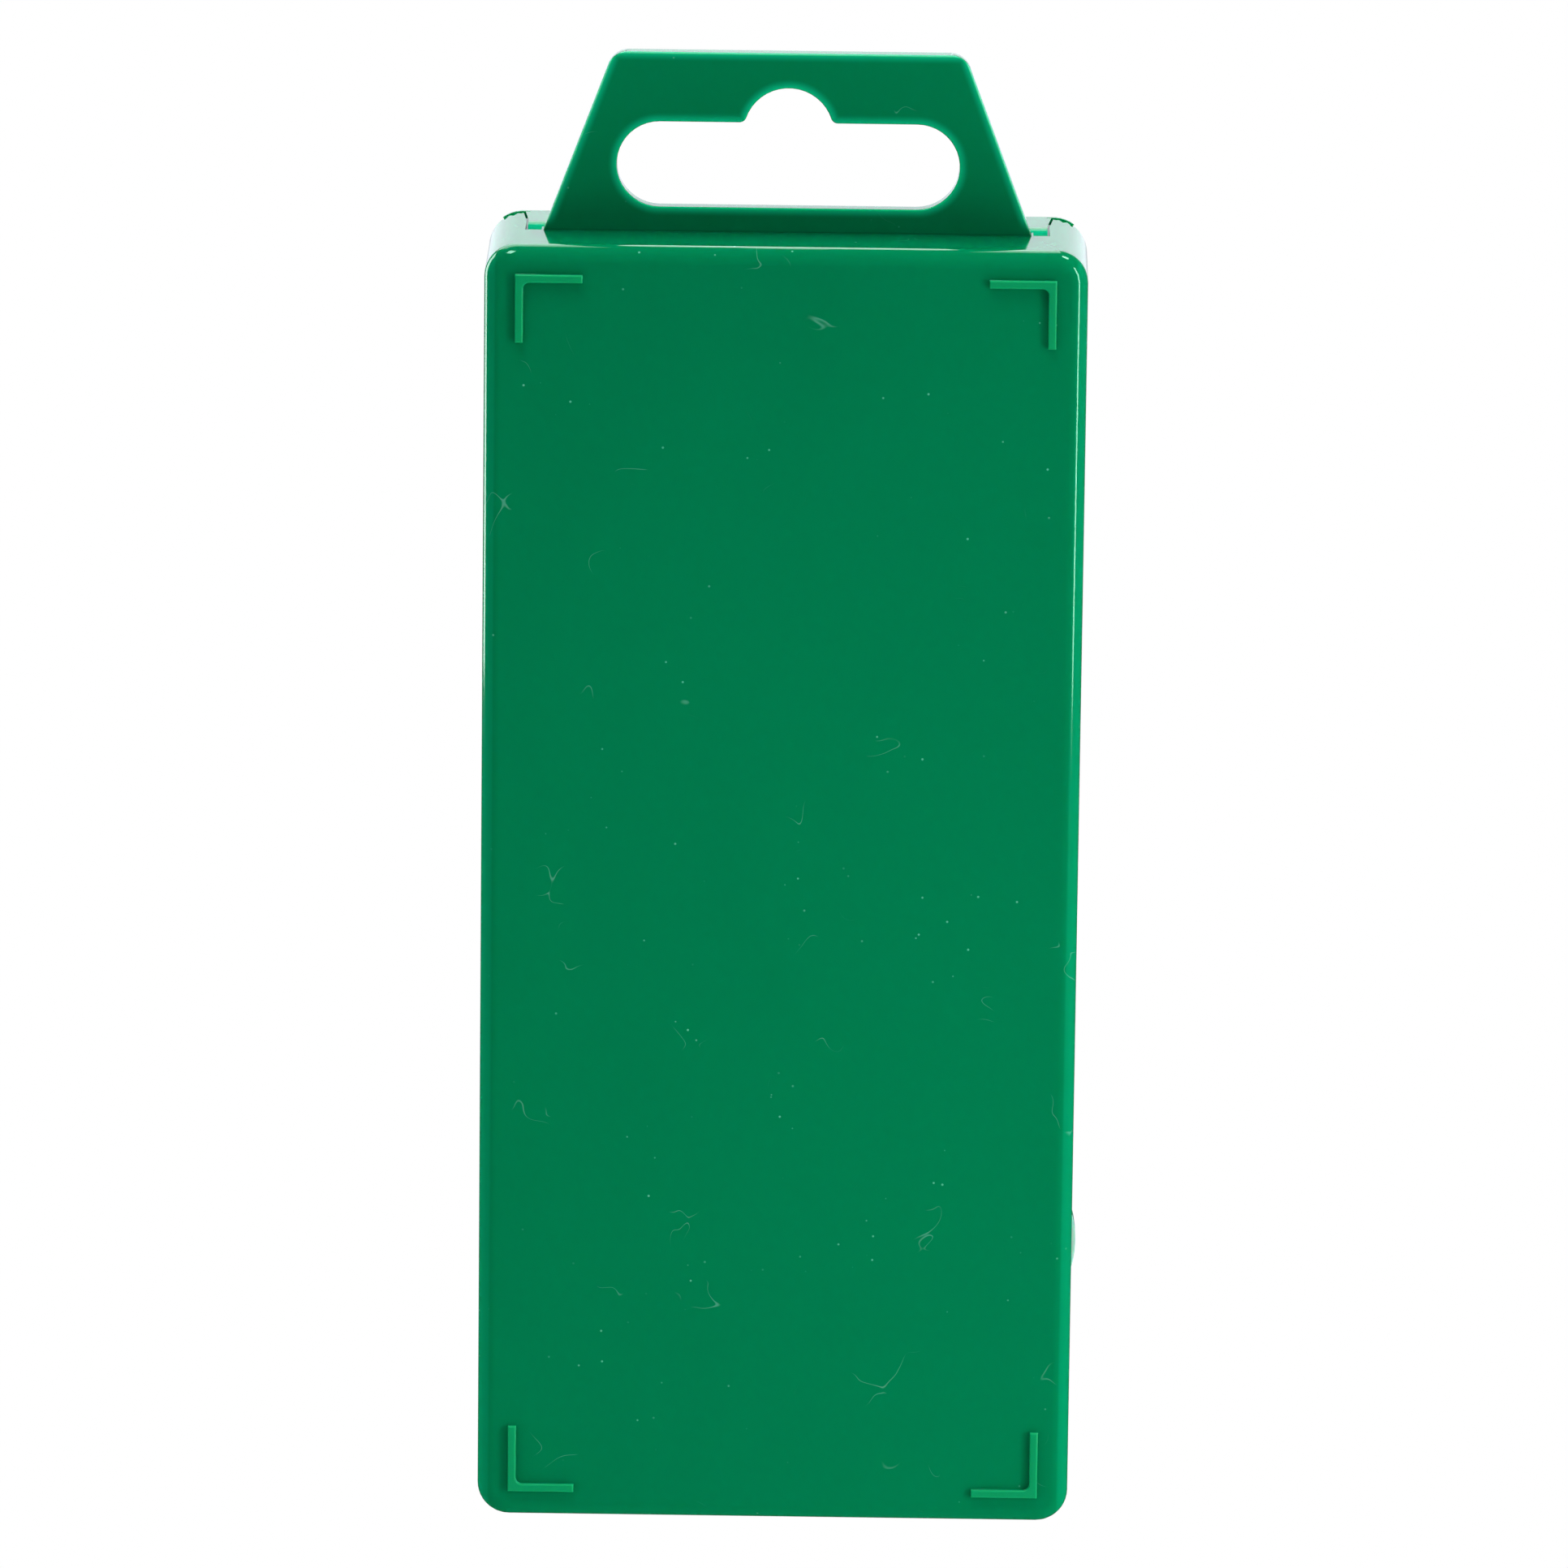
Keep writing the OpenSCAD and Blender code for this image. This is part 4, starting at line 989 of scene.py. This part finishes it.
def lettering(text, height, x, z, front, thickness):
    """Points and faces of a short text on the plate that faces the reader, its middle at x and z."""
    curve = bpy.data.curves.new("label", "FONT")
    curve.body = text
    curve.size = height
    curve.align_x = "CENTER"
    curve.align_y = "CENTER"
    curve.extrude = thickness
    label = bpy.data.objects.new("label", curve)
    bpy.context.scene.collection.objects.link(label)
    graph = bpy.context.evaluated_depsgraph_get()
    mesh = bpy.data.meshes.new_from_object(label.evaluated_get(graph))
    mesh.transform(Matrix.Translation((x, front, z)) @ Matrix.Rotation(math.pi / 2, 4, "X"))
    points = mesh_points(mesh)
    faces = [list(p.vertices) for p in mesh.polygons]
    bpy.data.objects.remove(label)
    bpy.data.curves.remove(curve)
    bpy.data.meshes.remove(mesh)
    return points, faces


class THERMOMETER_OT_scale(bpy.types.Operator):
    """Dresses the scale plate and prints its marks, figures and words"""

    bl_idname = "thermometer.scale"
    bl_label = "Scale"

    def execute(self, context):
        settings = context.scene.thermometer_front
        dress({"scale_plate": grained("scale_white", settings.plate)})
        ink = grained("scale_ink", settings.ink)
        tube = UTube()
        beside_glass, figure_reach = 0.5 * MM, 5.4 * MM
        word_rise, unit_drop, label_drop = 4.6 * MM, 4.4 * MM, 2.2 * MM
        front = span("scale_plate")[0][1]
        foot, head = span("left_magnet")[0][2], span("left_magnet")[1][2]
        start = tube.limb_x + tube.radius + beside_glass
        lift = settings.print_height
        marks = np.arange(settings.coldest, settings.hottest + 1)
        climb = (marks - settings.coldest) / (settings.hottest - settings.coldest) * (head - foot)
        parts = []
        for side, heights, word in ((1, foot + climb, "MAX"), (-1, head - climb, "MIN")):
            x = side * (start + figure_reach)
            parts.append(scale_marks(marks, heights, side, start, front, lift))
            for mark, z in zip(marks[::10], heights[::10]):
                parts.append(lettering(str(mark), settings.figure, x, z, front, lift))
            parts.append(lettering(word, settings.word, x, head + word_rise, front, lift))
            parts.append(lettering("°C", settings.figure, x, foot - unit_drop, front, lift))
        below_button = span("button_guide")[0][2] - label_drop
        parts.append(lettering("RESET", settings.label, 0, below_button, front, lift))
        link(mesh_piece("scale_print", parts), ink, "case", "scale_white")
        return {"FINISHED"}


def blown_glass(tube):
    """Outer and inner skin of the tube, swept along its middle line with the radius of bulb_radius."""
    tops = tube.along(tube.bulb_top), tube.along(tube.limb_top + SMALL_BULB)
    skins = []
    for wall, limb, order in ((0, tube.radius, 1), (GLASS_WALL, tube.thread + PLAY, -1)):
        ends = tops[0] - wall, tops[1] - wall
        s = stations(-ends[0], ends[1], GLASS_RINGS)
        radius = bulb_radius(tube, s, limb, tube.main_bulb - wall, tube.small_bulb - wall, *ends)
        skins.append(ring_mesh(tube.sweep(s, radius)[:, ::order]))
    return mesh_piece("u_tube_glass", skins)


def indicator_thread(tube):
    """Thread of liquid between its two levels, with radius * sqrt(1 - (1 - e)^2) at e menisci from an end."""
    right_level = span("indicator_liquid")[1][2]
    left_level = span("min_index")[0][2] + joint_range("min_index_slide")[0] - PLAY
    s = stations(-tube.along(left_level), tube.along(right_level), THREAD_RINGS)
    ends = np.clip(np.minimum(s - s[0], s[-1] - s) / MENISCUS, 0, 1)
    radius = tube.thread * np.sqrt(np.clip(1 - (1 - ends) ** 2, 0, 1))
    return mesh_piece("indicator_thread", [ring_mesh(tube.sweep(s, radius))])


def spirit_filling(tube, node, side, bulb):
    """Filling of a bulb up to the node's top: with a round end in the main bulb, level in the small one."""
    inner = bulb - GLASS_WALL - PLAY
    end = tube.along(span(node)[1][2])
    closing = end if side < 0 else end + bulb
    s = side * stations(tube.along(tube.limb_top), end, FILLING_RINGS)
    radius = bulb_radius(tube, s, tube.thread, inner, inner, closing, closing)
    radius[[0, -1]] = 0
    return mesh_piece(node + "_filling", [ring_mesh(tube.sweep(s, radius)[:, ::side])])


class THERMOMETER_OT_tube(bpy.types.Operator):
    """Blows the glass U-tube and fills it with its indicator thread and its spirit"""

    bl_idname = "thermometer.tube"
    bl_label = "Tube"

    def execute(self, context):
        settings = context.scene.thermometer_front
        tube = UTube()
        glass = blown_glass(tube)
        link(glass, clear("tube_glass"), "case", "tube_glass")
        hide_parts("u_tube")
        thread = indicator_thread(tube)
        link(thread, grained("indicator_blue", settings.liquid, coat_weight=0.6), "case", "indicator_blue")
        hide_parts("indicator_liquid")
        spirit = clear("spirit_clear")
        bulbs = {"main_spirit": (-1, tube.main_bulb), "expansion_spirit": (1, tube.small_bulb)}
        for node, (side, bulb) in bulbs.items():
            filling = spirit_filling(tube, node, side, bulb)
            link(filling, spirit, "case", "spirit_clear")
            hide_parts(node)
        return {"FINISHED"}


class THERMOMETER_OT_indices(bpy.types.Operator):
    """Colours the two indices and polishes their needles"""

    bl_idname = "thermometer.indices"
    bl_label = "Indices"

    def execute(self, context):
        settings = context.scene.thermometer_front
        steel = grained("needle_steel", settings.steel, metallic=1.0)
        for node, colour in (("max_index", settings.max_sheath), ("min_index", settings.min_sheath)):
            coat_mesh(frame["nodes"][node].data, grained(node + "_sheath", colour))
            coat_mesh(frame["nodes"][node + "_needle"].data, steel)
        return {"FINISHED"}


class THERMOMETER_OT_holders(bpy.types.Operator):
    """Dresses the clips, rivets, cradle and screws that hold the tube and the plate"""

    bl_idname = "thermometer.holders"
    bl_label = "Holders"

    def execute(self, context):
        settings = context.scene.thermometer_front
        white = grained("clip_white", settings.clip)
        dress({
            "tube_clips": white,
            "bend_cradle": white,
            "clip_rivets": grained("rivet_aluminium", settings.rivet, metallic=1.0),
            "plate_screws": grained("plated_steel", settings.steel, metallic=1.0),
        })
        return {"FINISHED"}


def coil(start, end, radius, wire, turns, steps=48, sides=12):
    """Rings of wire along a helix about Y: middle = (r cos t, rise t, r sin t), t up to turns full turns."""
    turn = np.linspace(0, FULL_TURN * turns, steps * turns + 1)
    axis = np.stack([np.cos(turn), np.zeros_like(turn), np.sin(turn)], axis=-1)
    middle = start + (end - start) * np.linspace(0, 1, len(turn))[:, None] + radius * axis
    angle = np.linspace(0, FULL_TURN, sides, endpoint=False)[None, :, None]
    spoke = np.cos(angle) * axis[:, None] + np.sin(angle) * DEPTH
    thick = np.full(len(turn), wire / 2)
    thick[[0, -1]] = 0
    return middle[:, None] + thick[:, None, None] * spoke


class THERMOMETER_OT_reset(bpy.types.Operator):
    """Dresses the reset button, its guide and spring, and the magnet carrier behind the plate"""

    bl_idname = "thermometer.reset"
    bl_label = "Reset"

    def execute(self, context):
        settings = context.scene.thermometer_front
        magnet = grained("magnet_brown", settings.magnet)
        steel = grained("spring_steel", settings.steel, metallic=1.0)
        dress({
            "button_guide": grained("guide_grey", settings.guide),
            "reset_button": grained("button_red", settings.red, coat_weight=0.3),
            "magnet_carrier": grained("carrier_grey", settings.carrier),
            "left_magnet": magnet,
            "right_magnet": magnet,
            "stem_clip": steel,
        })
        low, high = span("button_spring")
        middle = (low + high) / 2
        wire, turns = settings.wire, 4
        radius = (high[0] - low[0] - wire) / 2
        start = np.array([middle[0], high[1] - wire / 2, middle[2]])
        end = np.array([middle[0], low[1] + wire / 2, middle[2]])
        spring = mesh_piece("return_spring", [ring_mesh(coil(start, end, radius, wire, turns))])
        link(spring, steel, "case", "bright_steel")
        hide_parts("button_spring")
        length = high[1] - low[1]
        travel = joint_range("reset_press")[1]
        1 - travel / length
        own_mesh(spring)
        return {"FINISHED"}


OPERATORS = (
    THERMOMETER_OT_stage, THERMOMETER_OT_case, THERMOMETER_OT_window, THERMOMETER_OT_scale,
    THERMOMETER_OT_tube, THERMOMETER_OT_indices, THERMOMETER_OT_holders, THERMOMETER_OT_reset)


class THERMOMETER_PT_panel(bpy.types.Panel):
    """Lists the steps that dress the thermometer"""

    bl_label = "Thermometer"
    bl_idname = "THERMOMETER_PT_panel"
    bl_space_type = "VIEW_3D"
    bl_region_type = "UI"
    bl_category = "Thermometer"

    def draw(self, context):
        for operator in OPERATORS:
            self.layout.operator(operator.bl_idname)


GROUPS = {
    "thermometer_case": CaseSettings,
    "thermometer_front": FrontSettings,
    "thermometer_stage": StageSettings,
}


def register():
    for group in GROUPS.values():
        bpy.utils.register_class(group)
    for cls in OPERATORS + (THERMOMETER_PT_panel,):
        bpy.utils.register_class(cls)
    for name, group in GROUPS.items():
        setattr(bpy.types.Scene, name, PointerProperty(type=group))


def unregister():
    for name in GROUPS:
        delattr(bpy.types.Scene, name)
    for cls in OPERATORS + (THERMOMETER_PT_panel,):
        bpy.utils.unregister_class(cls)
    for group in GROUPS.values():
        bpy.utils.unregister_class(group)


def main():
    register()
    bpy.ops.thermometer.stage()
    bpy.ops.thermometer.case()
    bpy.ops.thermometer.window()
    bpy.ops.thermometer.scale()
    bpy.ops.thermometer.tube()
    bpy.ops.thermometer.indices()
    bpy.ops.thermometer.holders()
    bpy.ops.thermometer.reset()


if __name__ == "__main__":
    main()
